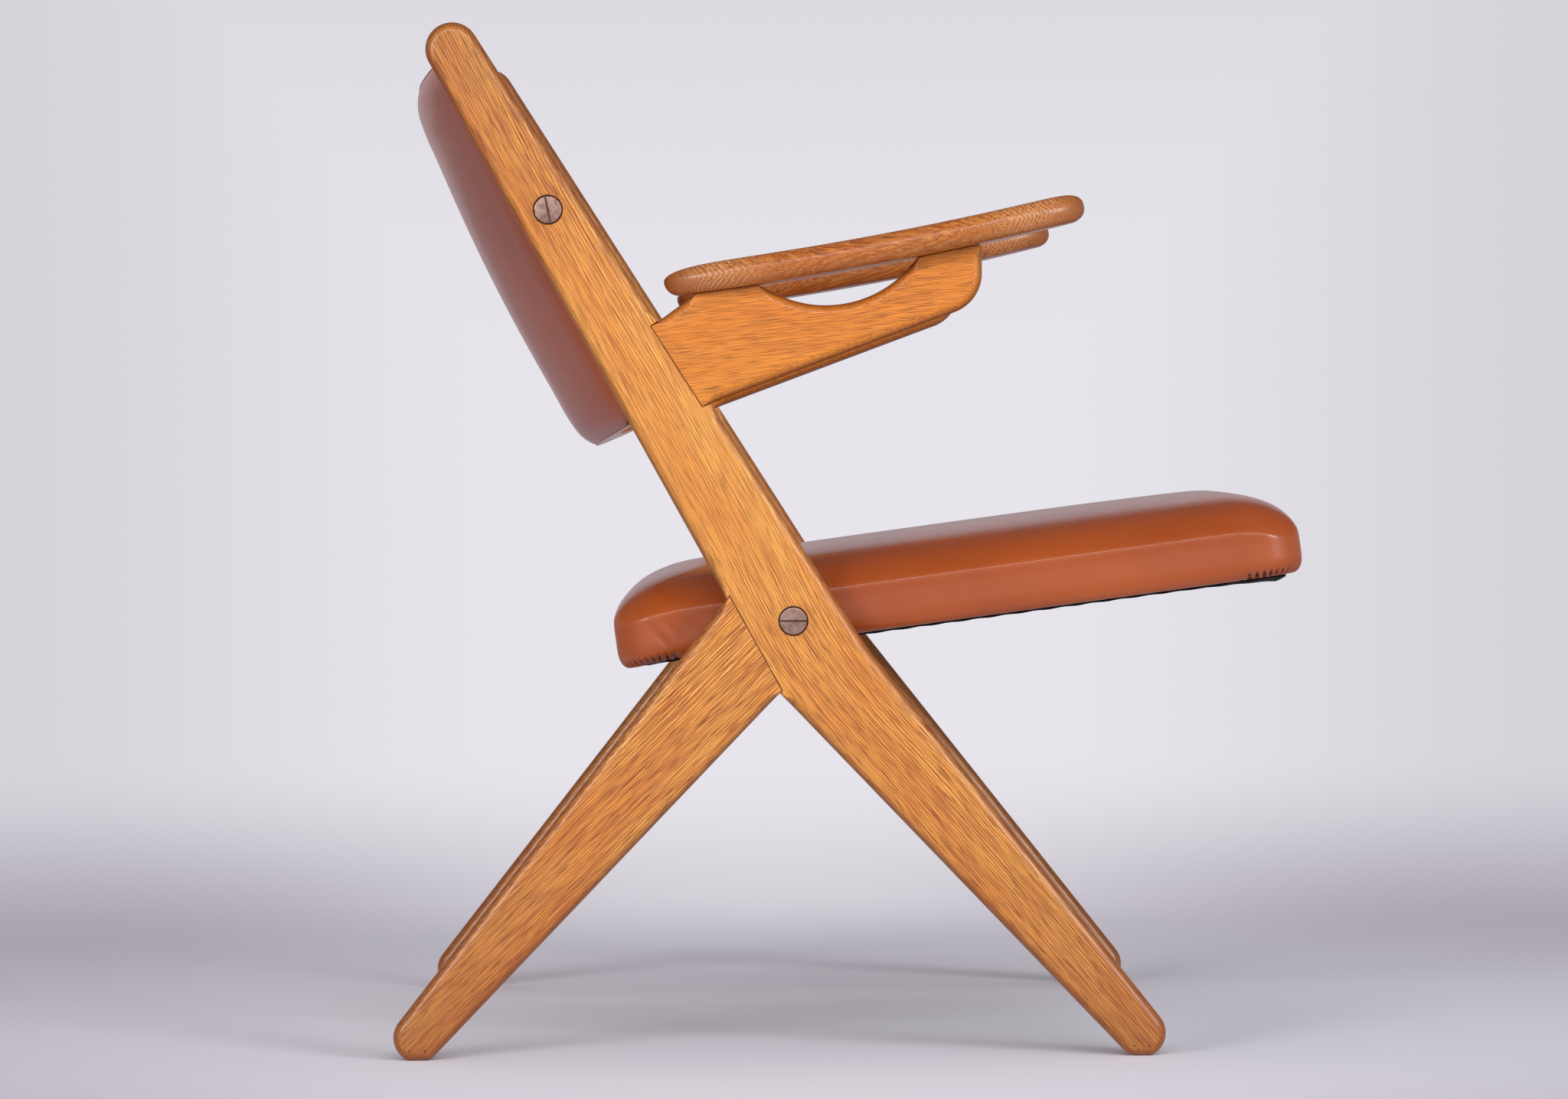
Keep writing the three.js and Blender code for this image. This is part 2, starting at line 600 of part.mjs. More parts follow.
const padShares = Array.from({ length: 2 * PAD_STEPS + 1 }, (_, k) => (
  Math.sin((Math.PI / 2) * (k / PAD_STEPS - 1))));
const sheet = (point) => padShares.map((u) => padShares.map((v) => point(u, v)));

// Points round a sheet's rim, turning left as seen from the side that it faces.
function rim(rows) {
  const last = rows.length - 1;
  const count = rows[0].length - 1;
  return [...rows.slice(0, last).map((row) => row[0]), ...rows[last].slice(0, count),
    ...rows.slice(1).reverse().map((row) => row[count]), ...rows[0].slice(1).reverse()];
}

// Closed pad from its upper sheet, the rings of its side wall and its lower sheet.
function padSolid(upper, lower, rings = []) {
  const walls = [rim(lower), ...rings, rim(upper)].map(looped);
  return solidOf([...patch(upper), ...flipped(patch(walls)), ...flipped(patch(lower))]);
}

// Seat pieces, in the tilted seat's own axes: X forward along the seat, Z square to it

const seatMiddle = (SEAT_FRONT - SEAT_REAR) / 2;
const seatHalfLength = (SEAT_FRONT + SEAT_REAR) / 2;

// The seat's form, drawn in by `inset`: crowned above, side wall tucked in below.
function seatForm(inset) {
  const level = (drawnIn, height) => (u, v) => {
    const [halfX, halfY] = [seatHalfLength - inset - drawnIn, padSide - inset - drawnIn];
    const [x, y] = roundCorner(halfX * u, halfY * v, halfX, halfY, SEAT_CORNER_RADIUS);
    return new THREE.Vector3(seatMiddle + x, y, height(u, v, halfX, halfY));
  };
  const crowned = (u, v, halfX, halfY) => SEAT_SHOULDER - inset
    + SEAT_SHOULDER_RISE * shoulder(halfX * (1 - Math.abs(u)), SEAT_SHOULDER_WIDTH)
    * shoulder(halfY * (1 - Math.abs(v)), SEAT_SHOULDER_WIDTH)
    + SEAT_CROWN * (1 - u * u) * (1 - v * v);
  const underside = inset - SEAT_UNDERSIDE;
  const wall = [
    [SEAT_TUCK * SEAT_TUCK_BULGE.drawnIn, underside + SEAT_TUCK_HEIGHT * SEAT_TUCK_BULGE.height],
    [0, underside + SEAT_TUCK_HEIGHT],
  ];
  const rings = wall.map(([drawnIn, height]) => rim(sheet(level(drawnIn, () => height))));
  return padSolid(sheet(level(0, crowned)), sheet(level(SEAT_TUCK, () => underside)), rings);
}

const railLow = LEATHER + FIT_GAP - SEAT_UNDERSIDE;
const seatCore = seatForm(LEATHER + FIT_GAP);
const coreFront = SEAT_FRONT - LEATHER - FIT_GAP;
const coreRear = LEATHER + FIT_GAP - SEAT_REAR;
const seatPinLocal = new THREE.Vector3(-PIN_BEHIND, 0, -PIN_BELOW);
const seatBoltLocal = new THREE.Vector3(0, 0, 0);
const seatHoles = () => [
  crossHole(seatBoltLocal, boltClear, -INSIDE_WIDTH, INSIDE_WIDTH),
  crossHole(seatPinLocal, PIN_RADIUS + FIT_GAP, -INSIDE_WIDTH, INSIDE_WIDTH),
];

function seatCoverSolid() {
  const opening = box(
    new THREE.Vector3(LEATHER_TURN_UNDER - SEAT_REAR, LEATHER_TURN_UNDER - padSide, -CUTTER),
    new THREE.Vector3(SEAT_FRONT - LEATHER_TURN_UNDER, padSide - LEATHER_TURN_UNDER, 0));
  return cut(seatForm(0), seatForm(LEATHER), opening, ...seatHoles());
}

function seatFoamSolid() {
  const strapTop = RAIL_TOP + STRAP_THICKNESS + 2 * FIT_GAP;
  return cut(seatCore, beyond(new THREE.Vector3(0, 0, strapTop), new THREE.Vector3(0, 0, -1)));
}

// Front and rear rails run the full width; the side rails fit between them.
function endRailSolid(low, high) {
  return box(new THREE.Vector3(low, -coreSide, railLow), new THREE.Vector3(high, coreSide, RAIL_TOP))
    .intersect(seatCore);
}

function sideRailSolid(side) {
  const [low, high] = [side * railInner, side * coreSide].sort((a, b) => a - b);
  const rail = box(
    new THREE.Vector3(coreRear + RAIL_THICKNESS + FIT_GAP, low, railLow),
    new THREE.Vector3(coreFront - RAIL_THICKNESS - FIT_GAP, high, RAIL_TOP));
  const barrel = crossHole(seatBoltLocal, TNUT_BARREL_RADIUS + FIT_GAP, side * (railInner - OVERRUN),
    side * (railInner + TNUT_BARREL + FIT_GAP));
  return cut(rail.intersect(seatCore), barrel, ...seatHoles());
}

// Triangular block glued in a corner of the seat frame.
function cornerBlockSolid(end, side) {
  const railDepth = RAIL_THICKNESS + FIT_GAP;
  const cornerX = end > 0 ? coreFront - railDepth : coreRear + railDepth;
  const cornerY = side * (railInner - FIT_GAP);
  const outline = [
    new THREE.Vector2(cornerX, cornerY),
    new THREE.Vector2(cornerX - end * CORNER_BLOCK, cornerY),
    new THREE.Vector2(cornerX, cornerY - side * CORNER_BLOCK),
  ];
  return plate(outline, railLow, RAIL_TOP - CORNER_BLOCK_DROP);
}

function strapSolid(middle) {
  const reach = coreSide - STRAP_END;
  const low = RAIL_TOP + FIT_GAP;
  return box(
    new THREE.Vector3(middle - STRAP_WIDTH / 2, -reach, low),
    new THREE.Vector3(middle + STRAP_WIDTH / 2, reach, low + STRAP_THICKNESS));
}

function dustCoverSolid() {
  const top = -SEAT_UNDERSIDE - FIT_GAP;
  const corner = SEAT_CORNER_RADIUS - DUST_COVER_INSET;
  const [halfX, halfY] = [seatHalfLength - DUST_COVER_INSET, padSide - DUST_COVER_INSET];
  const outline = belt([[1, -1], [1, 1], [-1, 1], [-1, -1]].map(([x, y]) => (
    [seatMiddle + x * (halfX - corner), y * (halfY - corner), corner])));
  return plate(outline, top - DUST_COVER, top);
}

// Backrest pieces, in its own axes: X forward out of the backrest, Z up along it

const backMiddle = (BACK_ABOVE - BACK_BELOW) / 2;
const backHalf = (BACK_ABOVE + BACK_BELOW) / 2;

// Middle surface of the bowed backrest at a distance from the chair's middle plane.
const spine = (y) => -BACK_SIDE_SETBACK - BACK_HOLLOW * (1 - (y / padSide) ** 2);

// The backrest's form, drawn in by `inset`: crowned in front and behind a flat edge.
function backForm(inset) {
  const halfY = padSide - inset;
  const halfZ = backHalf - inset;
  const face = (direction, slope, crown) => (u, v) => {
    const [y, z] = roundCorner(halfY * u, halfZ * v, halfY, halfZ, BACK_CORNER_RADIUS);
    const swell = slope.rise * shoulder(halfY * (1 - Math.abs(u)), slope.width)
      * shoulder(halfZ * (1 - Math.abs(v)), slope.width) + crown * (1 - u * u) * (1 - v * v);
    return new THREE.Vector3(spine(y) + direction * (BACK_EDGE + swell - inset), y, backMiddle + z);
  };
  return padSolid(sheet(face(1, BACK_FRONT_SHOULDER, BACK_FRONT_CROWN)),
    sheet(face(-1, BACK_REAR_SHOULDER, BACK_REAR_CROWN)));
}

// Everything ahead of the middle surface moved forward by `offset`.
function aheadOf(offset) {
  const reach = INSIDE_WIDTH / 2;
  const curve = Array.from({ length: SPINE_STEPS + 1 }, (_, k) => {
    const y = reach * (2 * (k / SPINE_STEPS) - 1);
    return new THREE.Vector2(spine(y) + offset, y);
  });
  const ahead = [new THREE.Vector2(CUTTER, reach), new THREE.Vector2(CUTTER, -reach)];
  return plate([...curve, ...ahead], -CUTTER, CUTTER);
}

const stileInner = coreSide - STILE_WIDTH;

// Bent plywood, `spare` larger all round where it is cut out of its neighbours.
function panelSolid(spare = 0) {
  const reach = stileInner + STILE_GROOVE - FIT_GAP + spare;
  const half = PANEL_THICKNESS / 2 + spare;
  const trim = box(new THREE.Vector3(-CUTTER, -reach, PANEL_MARGIN - BACK_BELOW - spare),
    new THREE.Vector3(CUTTER, reach, BACK_ABOVE - PANEL_MARGIN + spare));
  return cut(aheadOf(-half), aheadOf(half)).intersect(trim);
}

function stileBox(side, spare) {
  const [low, high] = [side * (stileInner - spare), side * INSIDE_WIDTH].sort((a, b) => a - b);
  return box(new THREE.Vector3(-STILE_BEHIND - spare, low, -CUTTER),
    new THREE.Vector3(STILE_AHEAD + spare, high, CUTTER));
}

const backCore = backForm(LEATHER + FIT_GAP);
const backBoltLocal = new THREE.Vector3(0, 0, 0);
const stileBoxes = () => ends.map((side) => stileBox(side, FIT_GAP));

function stileSolid(side) {
  const insertHole = crossHole(backBoltLocal, INSERT_RADIUS + FIT_GAP, side * INSIDE_WIDTH,
    side * (coreSide - INSERT_LENGTH - 2 * FIT_GAP));
  return cut(stileBox(side, 0).intersect(backCore), panelSolid(FIT_GAP), insertHole);
}

function backFrontFoamSolid() {
  return cut(backCore.intersect(aheadOf(PANEL_THICKNESS / 2 + FIT_GAP)), ...stileBoxes());
}

function backRearFoamSolid() {
  return cut(backCore, aheadOf(-PANEL_THICKNESS / 2 - FIT_GAP), ...stileBoxes());
}

const backSkin = backForm(0).subtract(backForm(LEATHER));

function backFrontCoverSolid() {
  const holes = ends.map((side) => (
    crossHole(backBoltLocal, boltClear, side * stileInner, side * INSIDE_WIDTH)));
  return cut(backSkin.intersect(aheadOf(BACK_SEAM + FIT_GAP / 2)), ...holes);
}

function backRearCoverSolid() {
  return cut(backSkin, aheadOf(BACK_SEAM - FIT_GAP / 2));
}

// Assembly

const chair = new THREE.Group();
chair.name = 'armchair';

function addPiece(group, name, finish, solid) {
  const mesh = new THREE.Mesh(geometryOf(solid), new THREE.MeshStandardMaterial(FINISHES[finish]));
  mesh.name = name;
  group.add(mesh);
  return mesh;
}

// Turned pieces are made with their outer end towards +Y, so the right side's are turned over.
function addTurned(group, name, finish, solid, side, place) {
  const mesh = addPiece(group, name, finish, solid);
  mesh.rotation.x = side > 0 ? 0 : Math.PI;
  mesh.position.set(place.x, 0, place.z);
  return mesh;
}

function addSideFrame(name, side) {
  const frame = new THREE.Group();
  frame.position.y = side * boardMiddle;
  addPiece(frame, `${name}_upright_leg`, 'oak', uprightSolid(side));
  addPiece(frame, `${name}_rear_leg`, 'oak', rearLegSolid(side));
  addPiece(frame, `${name}_arm_bracket`, 'oak', bracketSolid());
  addPiece(frame, `${name}_arm_paddle`, 'oak', paddleSolid());
  ['lower', 'upper'].forEach((level, i) => {
    addPiece(frame, `${name}_rear_leg_dowel_${level}`, 'beech', peg(...rearDowels[i], FRAME_DOWEL_RADIUS));
    addPiece(frame, `${name}_bracket_dowel_${level}`, 'beech', peg(...bracketDowels[i], FRAME_DOWEL_RADIUS));
  });
  ['rear', 'front'].forEach((level, i) => {
    addPiece(frame, `${name}_paddle_dowel_${level}`, 'beech', peg(...paddleDowels[i], PADDLE_DOWEL_RADIUS));
  });
  chair.add(frame);
}

function addFastenings(name, side) {
  const seatBoltEnd = railInner - FIT_GAP - TNUT_FLANGE;
  const backBoltEnd = coreSide - INSERT_LENGTH;
  const pin = turned([[0, railInner], [PIN_RADIUS, railInner], [PIN_RADIUS, innerFace + PIN_DEPTH],
    [0, innerFace + PIN_DEPTH]]);
  addTurned(chair, `${name}_seat_bolt`, 'bronze', boltSolid(seatBoltEnd, SEAT_SLOT_TURN), side, seatBolt);
  addTurned(chair, `${name}_seat_washer`, 'bronze', washerSolid(), side, seatBolt);
  addTurned(chair, `${name}_seat_tnut`, 'steel', tnutSolid(), side, seatBolt);
  addTurned(chair, `${name}_seat_pin`, 'steel', pin, side, seatPin);
  addTurned(chair, `${name}_back_bolt`, 'bronze', boltSolid(backBoltEnd, BACK_SLOT_TURN), side, backBolt);
  addTurned(chair, `${name}_back_washer`, 'bronze', washerSolid(), side, backBolt);
}

function addSeat() {
  const seat = new THREE.Group();
  seat.position.copy(seatBolt);
  seat.rotation.y = -tilt;
  addPiece(seat, 'seat_front_rail', 'beech', endRailSolid(coreFront - RAIL_THICKNESS, coreFront));
  addPiece(seat, 'seat_rear_rail', 'beech', endRailSolid(coreRear, coreRear + RAIL_THICKNESS));
  [['right', -1], ['left', 1]].forEach(([name, side]) => {
    addPiece(seat, `seat_${name}_rail`, 'beech', sideRailSolid(side));
    addPiece(seat, `seat_corner_block_front_${name}`, 'beech', cornerBlockSolid(1, side));
    addPiece(seat, `seat_corner_block_rear_${name}`, 'beech', cornerBlockSolid(-1, side));
  });
  const firstStrap = coreRear + RAIL_THICKNESS + STRAP_WIDTH / 2;
  const lastStrap = coreFront - RAIL_THICKNESS - STRAP_WIDTH / 2;
  for (let k = 0; k < STRAP_COUNT; k += 1) {
    const middle = THREE.MathUtils.lerp(firstStrap, lastStrap, k / (STRAP_COUNT - 1));
    addPiece(seat, `seat_strap_${k + 1}`, 'webbing', strapSolid(middle));
  }
  addPiece(seat, 'seat_foam', 'foam', seatFoamSolid());
  addPiece(seat, 'seat_cover', 'leather', seatCoverSolid());
  addPiece(seat, 'seat_dust_cover', 'black_cloth', dustCoverSolid());
  chair.add(seat);
}

function addBackrest() {
  const back = new THREE.Group();
  back.position.copy(backBolt);
  back.rotation.y = -radians(BACK_RAKE);
  addPiece(back, 'back_panel', 'plywood', panelSolid());
  [['right', -1], ['left', 1]].forEach(([name, side]) => {
    addPiece(back, `back_${name}_stile`, 'beech', stileSolid(side));
    addTurned(back, `${name}_back_insert`, 'steel', insertSolid(), side, backBoltLocal);
  });
  addPiece(back, 'back_front_foam', 'foam', backFrontFoamSolid());
  addPiece(back, 'back_rear_foam', 'foam', backRearFoamSolid());
  addPiece(back, 'back_front_cover', 'leather', backFrontCoverSolid());
  addPiece(back, 'back_rear_cover', 'leather', backRearCoverSolid());
  chair.add(back);
}

addSideFrame('right', -1);
addSideFrame('left', 1);
addFastenings('right', -1);
addFastenings('left', 1);
addSeat();
addBackrest();

// The origin is on the floor, under the middle of the chair's length.
const span = new THREE.Box3().setFromObject(chair, true);
chair.position.x = -(span.min.x + span.max.x) / 2;
chair.updateMatrixWorld(true);

export default chair;
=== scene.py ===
# %% [markdown]
# # A crossed-frame lounge armchair
#
# Two crossed oak side frames carry a padded leather seat, and a padded leather backrest that tilts
# on two bolts. The chair's construction comes packed, at its real size and in its own frame: metres,
# +X to the front, +Y to the sitter's left, +Z up. This lesson dresses it: each step says what a piece
# is on the real chair, and then makes it as a surface worked out with numpy.

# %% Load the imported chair
import math

import bmesh
import bpy
import numpy as np
from mathutils import Matrix, Vector
from mathutils.geometry import tessellate_polygon


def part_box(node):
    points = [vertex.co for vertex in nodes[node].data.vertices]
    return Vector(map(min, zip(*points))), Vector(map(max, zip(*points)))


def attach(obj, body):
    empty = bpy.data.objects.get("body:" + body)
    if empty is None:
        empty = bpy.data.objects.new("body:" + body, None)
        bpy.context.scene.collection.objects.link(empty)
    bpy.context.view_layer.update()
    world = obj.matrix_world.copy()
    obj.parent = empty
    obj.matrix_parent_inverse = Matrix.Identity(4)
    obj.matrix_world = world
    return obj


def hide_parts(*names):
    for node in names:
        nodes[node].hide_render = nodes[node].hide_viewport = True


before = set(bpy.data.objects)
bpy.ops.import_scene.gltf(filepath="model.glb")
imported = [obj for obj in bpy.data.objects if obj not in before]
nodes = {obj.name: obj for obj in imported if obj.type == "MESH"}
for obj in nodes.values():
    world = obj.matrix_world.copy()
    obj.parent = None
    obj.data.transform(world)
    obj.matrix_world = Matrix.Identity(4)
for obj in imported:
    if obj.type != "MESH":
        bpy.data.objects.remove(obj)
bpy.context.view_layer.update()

# %% [markdown]
# ## The camera
#
# The chair is seen almost square from its right side, from four and a half metres away, with a long
# lens. A camera can be placed by eye, but here four measures give it: its place, its focal length in
# pixels, the pixel where level lines across the chair vanish, and a slight roll. Turning the camera
# towards the picture's middle, and not shifting its lens, keeps it plain for other views.

# %% Camera
PICTURE_SIZE = (2048, 1436)  # pixels
FOCAL_LENGTH = 7542  # pixels
VANISHING_PIXEL = (1016, 565)
CAMERA_ROLL = math.radians(0.41)
CAMERA_PLACE = Vector((-0.0526, -4.628, 0.4707))

picture_right = Vector((math.cos(CAMERA_ROLL), 0, -math.sin(CAMERA_ROLL)))
picture_up = Vector((math.sin(CAMERA_ROLL), 0, math.cos(CAMERA_ROLL)))
aim_right = (PICTURE_SIZE[0] / 2 - VANISHING_PIXEL[0]) / FOCAL_LENGTH
aim_down = (PICTURE_SIZE[1] / 2 - VANISHING_PIXEL[1]) / FOCAL_LENGTH
ahead = (Vector((0, 1, 0)) + picture_right * aim_right - picture_up * aim_down).normalized()
camera_right = (picture_right - ahead * picture_right.dot(ahead)).normalized()
camera_up = camera_right.cross(ahead)

camera_data = bpy.data.cameras.new("camera")
camera_data.lens = camera_data.sensor_width * FOCAL_LENGTH / PICTURE_SIZE[0]
camera = bpy.data.objects.new("camera", camera_data)
turn = Matrix((camera_right, camera_up, -ahead)).transposed().to_4x4()
camera.matrix_world = Matrix.Translation(CAMERA_PLACE) @ turn
scene = bpy.context.scene
scene.collection.objects.link(camera)
scene.camera = camera
scene.view_settings.view_transform = "Standard"
print(f"camera lens {camera_data.lens:.1f} mm")

# %% [markdown]
# ## Shader nodes in one line each
#
# A finish is a small graph of shader nodes. Building one by hand takes three calls a node: make it,
# set it, link it. One helper does all three, and it tells a number from another node's socket, so that
# a graph below reads like a recipe.

# %% Node helpers
def shade(tree, kind, inputs=None, output=0, **settings):
    """One shader node. Inputs are constants or other nodes' sockets; returns one output socket."""
    made = tree.nodes.new("ShaderNode" + kind)
    for name, value in settings.items():
        setattr(made, name, value)
    for name, value in (inputs or {}).items():
        socket = made.inputs[name]
        if isinstance(value, bpy.types.NodeSocket):
            tree.links.new(value, socket)
        else:
            socket.default_value = value
    return made.outputs[output]


def reckon(tree, operation, *values, clamp=False):
    """One Math node over one, two or three values."""
    inputs = dict(enumerate(values))
    return shade(tree, "Math", inputs, operation=operation, use_clamp=clamp)


def times(tree, first, second, clamp=False):
    """Product of two values."""
    return reckon(tree, "MULTIPLY", first, second, clamp=clamp)


def blend_colours(tree, share, first, second):
    """Mix of two colours: a share of 0 gives the first, 1 the second."""
    return shade(tree, "Mix", {0: share, 6: first, 7: second}, output=2, data_type="RGBA")


def ease(tree, value, low, high, start=0.0, end=1.0):
    """Smooth step of a value from `low` to `high`, mapped to `start` and `end`."""
    inputs = {"Value": value, "From Min": low, "From Max": high, "To Min": start, "To Max": end}
    return shade(tree, "MapRange", inputs, interpolation_type="SMOOTHSTEP")


def parts(tree, vector):
    """The three parts of a vector, as sockets X, Y and Z."""
    split = tree.nodes.new("ShaderNodeSeparateXYZ")
    tree.links.new(vector, split.inputs[0])
    return split.outputs


def written(tree, name, output="Fac"):
    """What is written on a piece's points under a name."""
    return shade(tree, "Attribute", output=output, attribute_name=name)


def noise(tree, vector, scale, detail=2.0, roughness=0.5):
    """Noise with `detail` finer layers, each weaker than the last by `roughness`."""
    inputs = {"Vector": vector, "Scale": scale, "Detail": detail, "Roughness": roughness}
    return shade(tree, "TexNoise", inputs)


def drawn_out(tree, vector, scales, detail=2.0):
    """Noise with its own scale along each axis, which draws its spots out to fibres."""
    scaled = shade(tree, "VectorMath", {0: vector, 1: scales}, operation="MULTIPLY")
    return noise(tree, scaled, 1.0, detail)


def colour(red, green, blue):
    """Linear colour from the 0 to 255 values that a picture shows."""
    shown = np.array([red, green, blue]) / 255
    linear = np.where(shown <= 0.04045, shown / 12.92, ((shown + 0.055) / 1.055) ** 2.4)
    return (*linear.tolist(), 1.0)


def new_finish(name):
    """Empty material: returns it and its node tree."""
    finish = bpy.data.materials.new(name)
    finish.use_nodes = True
    finish.node_tree.nodes.clear()
    return finish, finish.node_tree


def finished(finish, inputs, kind="BsdfPrincipled"):
    """Ends a finish's graph with its surface shader, and returns the finish."""
    tree = finish.node_tree
    output = tree.nodes.new("ShaderNodeOutputMaterial")
    tree.links.new(shade(tree, kind, inputs), output.inputs["Surface"])
    return finish


print("node helpers ready")

# %% [markdown]
# ## The studio
#
# The chair stands on a pale floor that runs into a pale backdrop, lit from the front on both sides by
# large soft lamps. A curved backdrop would stand in the way of a view from behind, so the floor is a
# round sheet that fades out into a pale world. What smooth leather reflects is bright all round the
# horizon, but dim overhead and at both sides, which gives pale edges over a deep colour. What lights
# matt surfaces is the same from all sides, so the world asks each ray which kind it is.

# %% World
STUDIO_PALE = colour(231, 228, 235)
STUDIO_HIGH = colour(212, 209, 217)
STUDIO_LOW = colour(166, 160, 173)
STUDIO_DIM = colour(84, 80, 86)
STUDIO_SOFT = colour(172, 170, 174)
# Each fade runs over heights (a direction's Z) or ways aside (its X), and may end in two shares.
ABOVE_FADE = (0.0, 0.14)
ASIDE_FADE = (0.04, 0.14, 0.0, 0.9)
BELOW_FADE = (-0.055, -0.090)
BELOW_ASIDE_FADE = (0.0, 0.12, 0.4, 1.0)
OVERHEAD_FADE = (0.12, 0.45)
SCREEN_FADE = (0.15, 0.60, 0.0, 0.52)  # dark screens at both sides, which only reflections see

world = bpy.data.worlds.new("studio")
scene.world = world
world.use_nodes = True
tree = world.node_tree
direction = parts(tree, shade(tree, "TexCoord"))
height = direction["Z"]
aside = reckon(tree, "ABSOLUTE", direction["X"])
outer = reckon(tree, "MAXIMUM", ease(tree, height, *ABOVE_FADE), ease(tree, aside, *ASIDE_FADE))
raised = blend_colours(tree, outer, STUDIO_PALE, STUDIO_HIGH)
sunk = times(tree, ease(tree, height, *BELOW_FADE), ease(tree, aside, *BELOW_ASIDE_FADE))
backdrop = blend_colours(tree, sunk, raised, STUDIO_LOW)
open_studio = blend_colours(tree, ease(tree, height, *OVERHEAD_FADE), backdrop, STUDIO_DIM)
ray = tree.nodes.new("ShaderNodeLightPath").outputs
mirrored = reckon(tree, "SUBTRACT", 1.0, ray["Is Camera Ray"])
screened = times(tree, mirrored, ease(tree, aside, *SCREEN_FADE))
shown = blend_colours(tree, screened, open_studio, STUDIO_DIM)
looked_at = reckon(tree, "MAXIMUM", ray["Is Camera Ray"], ray["Is Glossy Ray"])
seen = reckon(tree, "MAXIMUM", looked_at, ray["Is Transmission Ray"])
studio_colour = blend_colours(tree, seen, STUDIO_SOFT, shown)
tree.links.new(studio_colour, tree.nodes["Background"].inputs["Color"])
print("world made of", len(tree.nodes), "nodes")

# %% Floor
FLOOR_RADIUS = 2.6
FLOOR_SIDES = 96
FLOOR_FADE = (0.35, 1.3)  # distance from the chair where the floor begins and ends to fade
FLOOR_COLOUR = colour(229, 227, 236)


def once_round(count):
    """Equal angles once round a circle."""
    return np.linspace(0, 2 * np.pi, count, endpoint=False)


def studio_floor():
    """Disc of one face, with a rim of radius times (cos, sin) of an angle."""
    angle = once_round(FLOOR_SIDES)
    rim = np.stack([np.cos(angle), np.sin(angle), np.zeros_like(angle)], axis=1) * FLOOR_RADIUS
    mesh = bpy.data.meshes.new("floor")
    mesh.from_pydata(rim.tolist(), [], [list(range(FLOOR_SIDES))])
    disc = bpy.data.objects.new("floor", mesh)
    scene.collection.objects.link(disc)
    return disc


def floor_finish():
    """Matt paint that turns clear with the distance from the chair."""
    finish, tree = new_finish("pale floor")
    place = shade(tree, "TexCoord", output="Object")
    distance = shade(tree, "VectorMath", {0: place}, output="Value", operation="LENGTH")
    matt = shade(tree, "BsdfDiffuse", {"Color": FLOOR_COLOUR})
    clear = shade(tree, "BsdfTransparent")
    return finished(finish, {0: ease(tree, distance, *FLOOR_FADE), 1: matt, 2: clear}, "MixShader")


floor = studio_floor()
floor.data.materials.append(floor_finish())
print("floor", 2 * FLOOR_RADIUS, "m across")

# %% Lamps
LAMP_TARGET = Vector((0, 0, 0.4))
LAMPS = {  # place, width and height, watts
    "left_lamp": ((-2.2, -3.0, 1.2), (1.1, 1.1), 44),
    "right_lamp": ((2.6, -2.6, 1.4), (1.1, 1.1), 55),
    "high_lamp": ((0.3, -3.3, 2.3), (3.2, 0.35), 45),
}


def add_lamp(name, place, size, watts):
    """Soft lamp, a glowing rectangle that faces the chair."""
    lamp = bpy.data.lights.new(name, "AREA")
    lamp.shape = "RECTANGLE"
    lamp.size, lamp.size_y = size
    lamp.energy = watts
    holder = bpy.data.objects.new(name, lamp)
    holder.location = place
    holder.rotation_euler = (LAMP_TARGET - Vector(place)).to_track_quat("-Z", "Y").to_euler()
    scene.collection.objects.link(holder)


for lamp_name, lamp_values in LAMPS.items():
    add_lamp(lamp_name, *lamp_values)
print("lamps", sorted(LAMPS))

# %% [markdown]
# ## From arrays to pieces
#
# A surface is an array of points and a list of faces. The helper below merges points that coincide,
# which closes seams and poles, turns all faces outwards, and shades smoothly except across edges that
# are sharper than a crease angle. Each piece then stands at the origin, with its place in its points.

# %% Piece helpers
MERGE = 1e-6  # points closer than this are one
CREASE = math.radians(38)


def between_rings(rings):
    """Quads between neighbouring closed rings, given as rows of point numbers."""
    low, high = rings[:-1], rings[1:]
    quads = [low, np.roll(low, -1, axis=1), np.roll(high, -1, axis=1), high]
    return np.stack(quads, axis=-1).reshape(-1, 4).tolist()


def between_rows(numbers):
    """Quads of an open grid of point numbers."""
    quads = [numbers[:-1, :-1], numbers[:-1, 1:], numbers[1:, 1:], numbers[1:, :-1]]
    return np.stack(quads, axis=-1).reshape(-1, 4).tolist()


def numbered(shape, first=0):
    """Point numbers of a grid of that shape, row by row."""
    return first + np.arange(shape[0] * shape[1]).reshape(shape[:2])


def new_piece(name, points, faces):
    """Closed mesh object from points and faces, merged, facing out and smoothly shaded."""
    mesh = bpy.data.meshes.new(name)
    mesh.from_pydata(np.asarray(points).reshape(-1, 3).tolist(), [], faces)
    work = bmesh.new()
    work.from_mesh(mesh)
    bmesh.ops.remove_doubles(work, verts=work.verts, dist=MERGE)
    bmesh.ops.recalc_face_normals(work, faces=work.faces)
    work.to_mesh(mesh)
    work.free()
    mesh.polygons.foreach_set("use_smooth", np.ones(len(mesh.polygons), bool))
    mesh.set_sharp_from_angle(angle=CREASE)
    piece = bpy.data.objects.new(name, mesh)
    scene.collection.objects.link(piece)
    return piece


def points_of(piece):
    """The piece's points as an array with three columns."""
    flat = np.empty(3 * len(piece.data.vertices))
    piece.data.vertices.foreach_get("co", flat)
    return flat.reshape(-1, 3)


def set_points(piece, points):
    """Moves the piece's points to new places."""
    piece.data.vertices.foreach_set("co", points.ravel())
    piece.data.update()


def dress(piece, body, slot, finish, *stands_for):
    """Gives a piece its body, material slot and finish, and hides the nodes that it stands for. The slot
    argument is not used.
    """
    piece.data.materials.clear()
    piece.data.materials.append(finish)
    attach(piece, body)
    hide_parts(*stands_for)


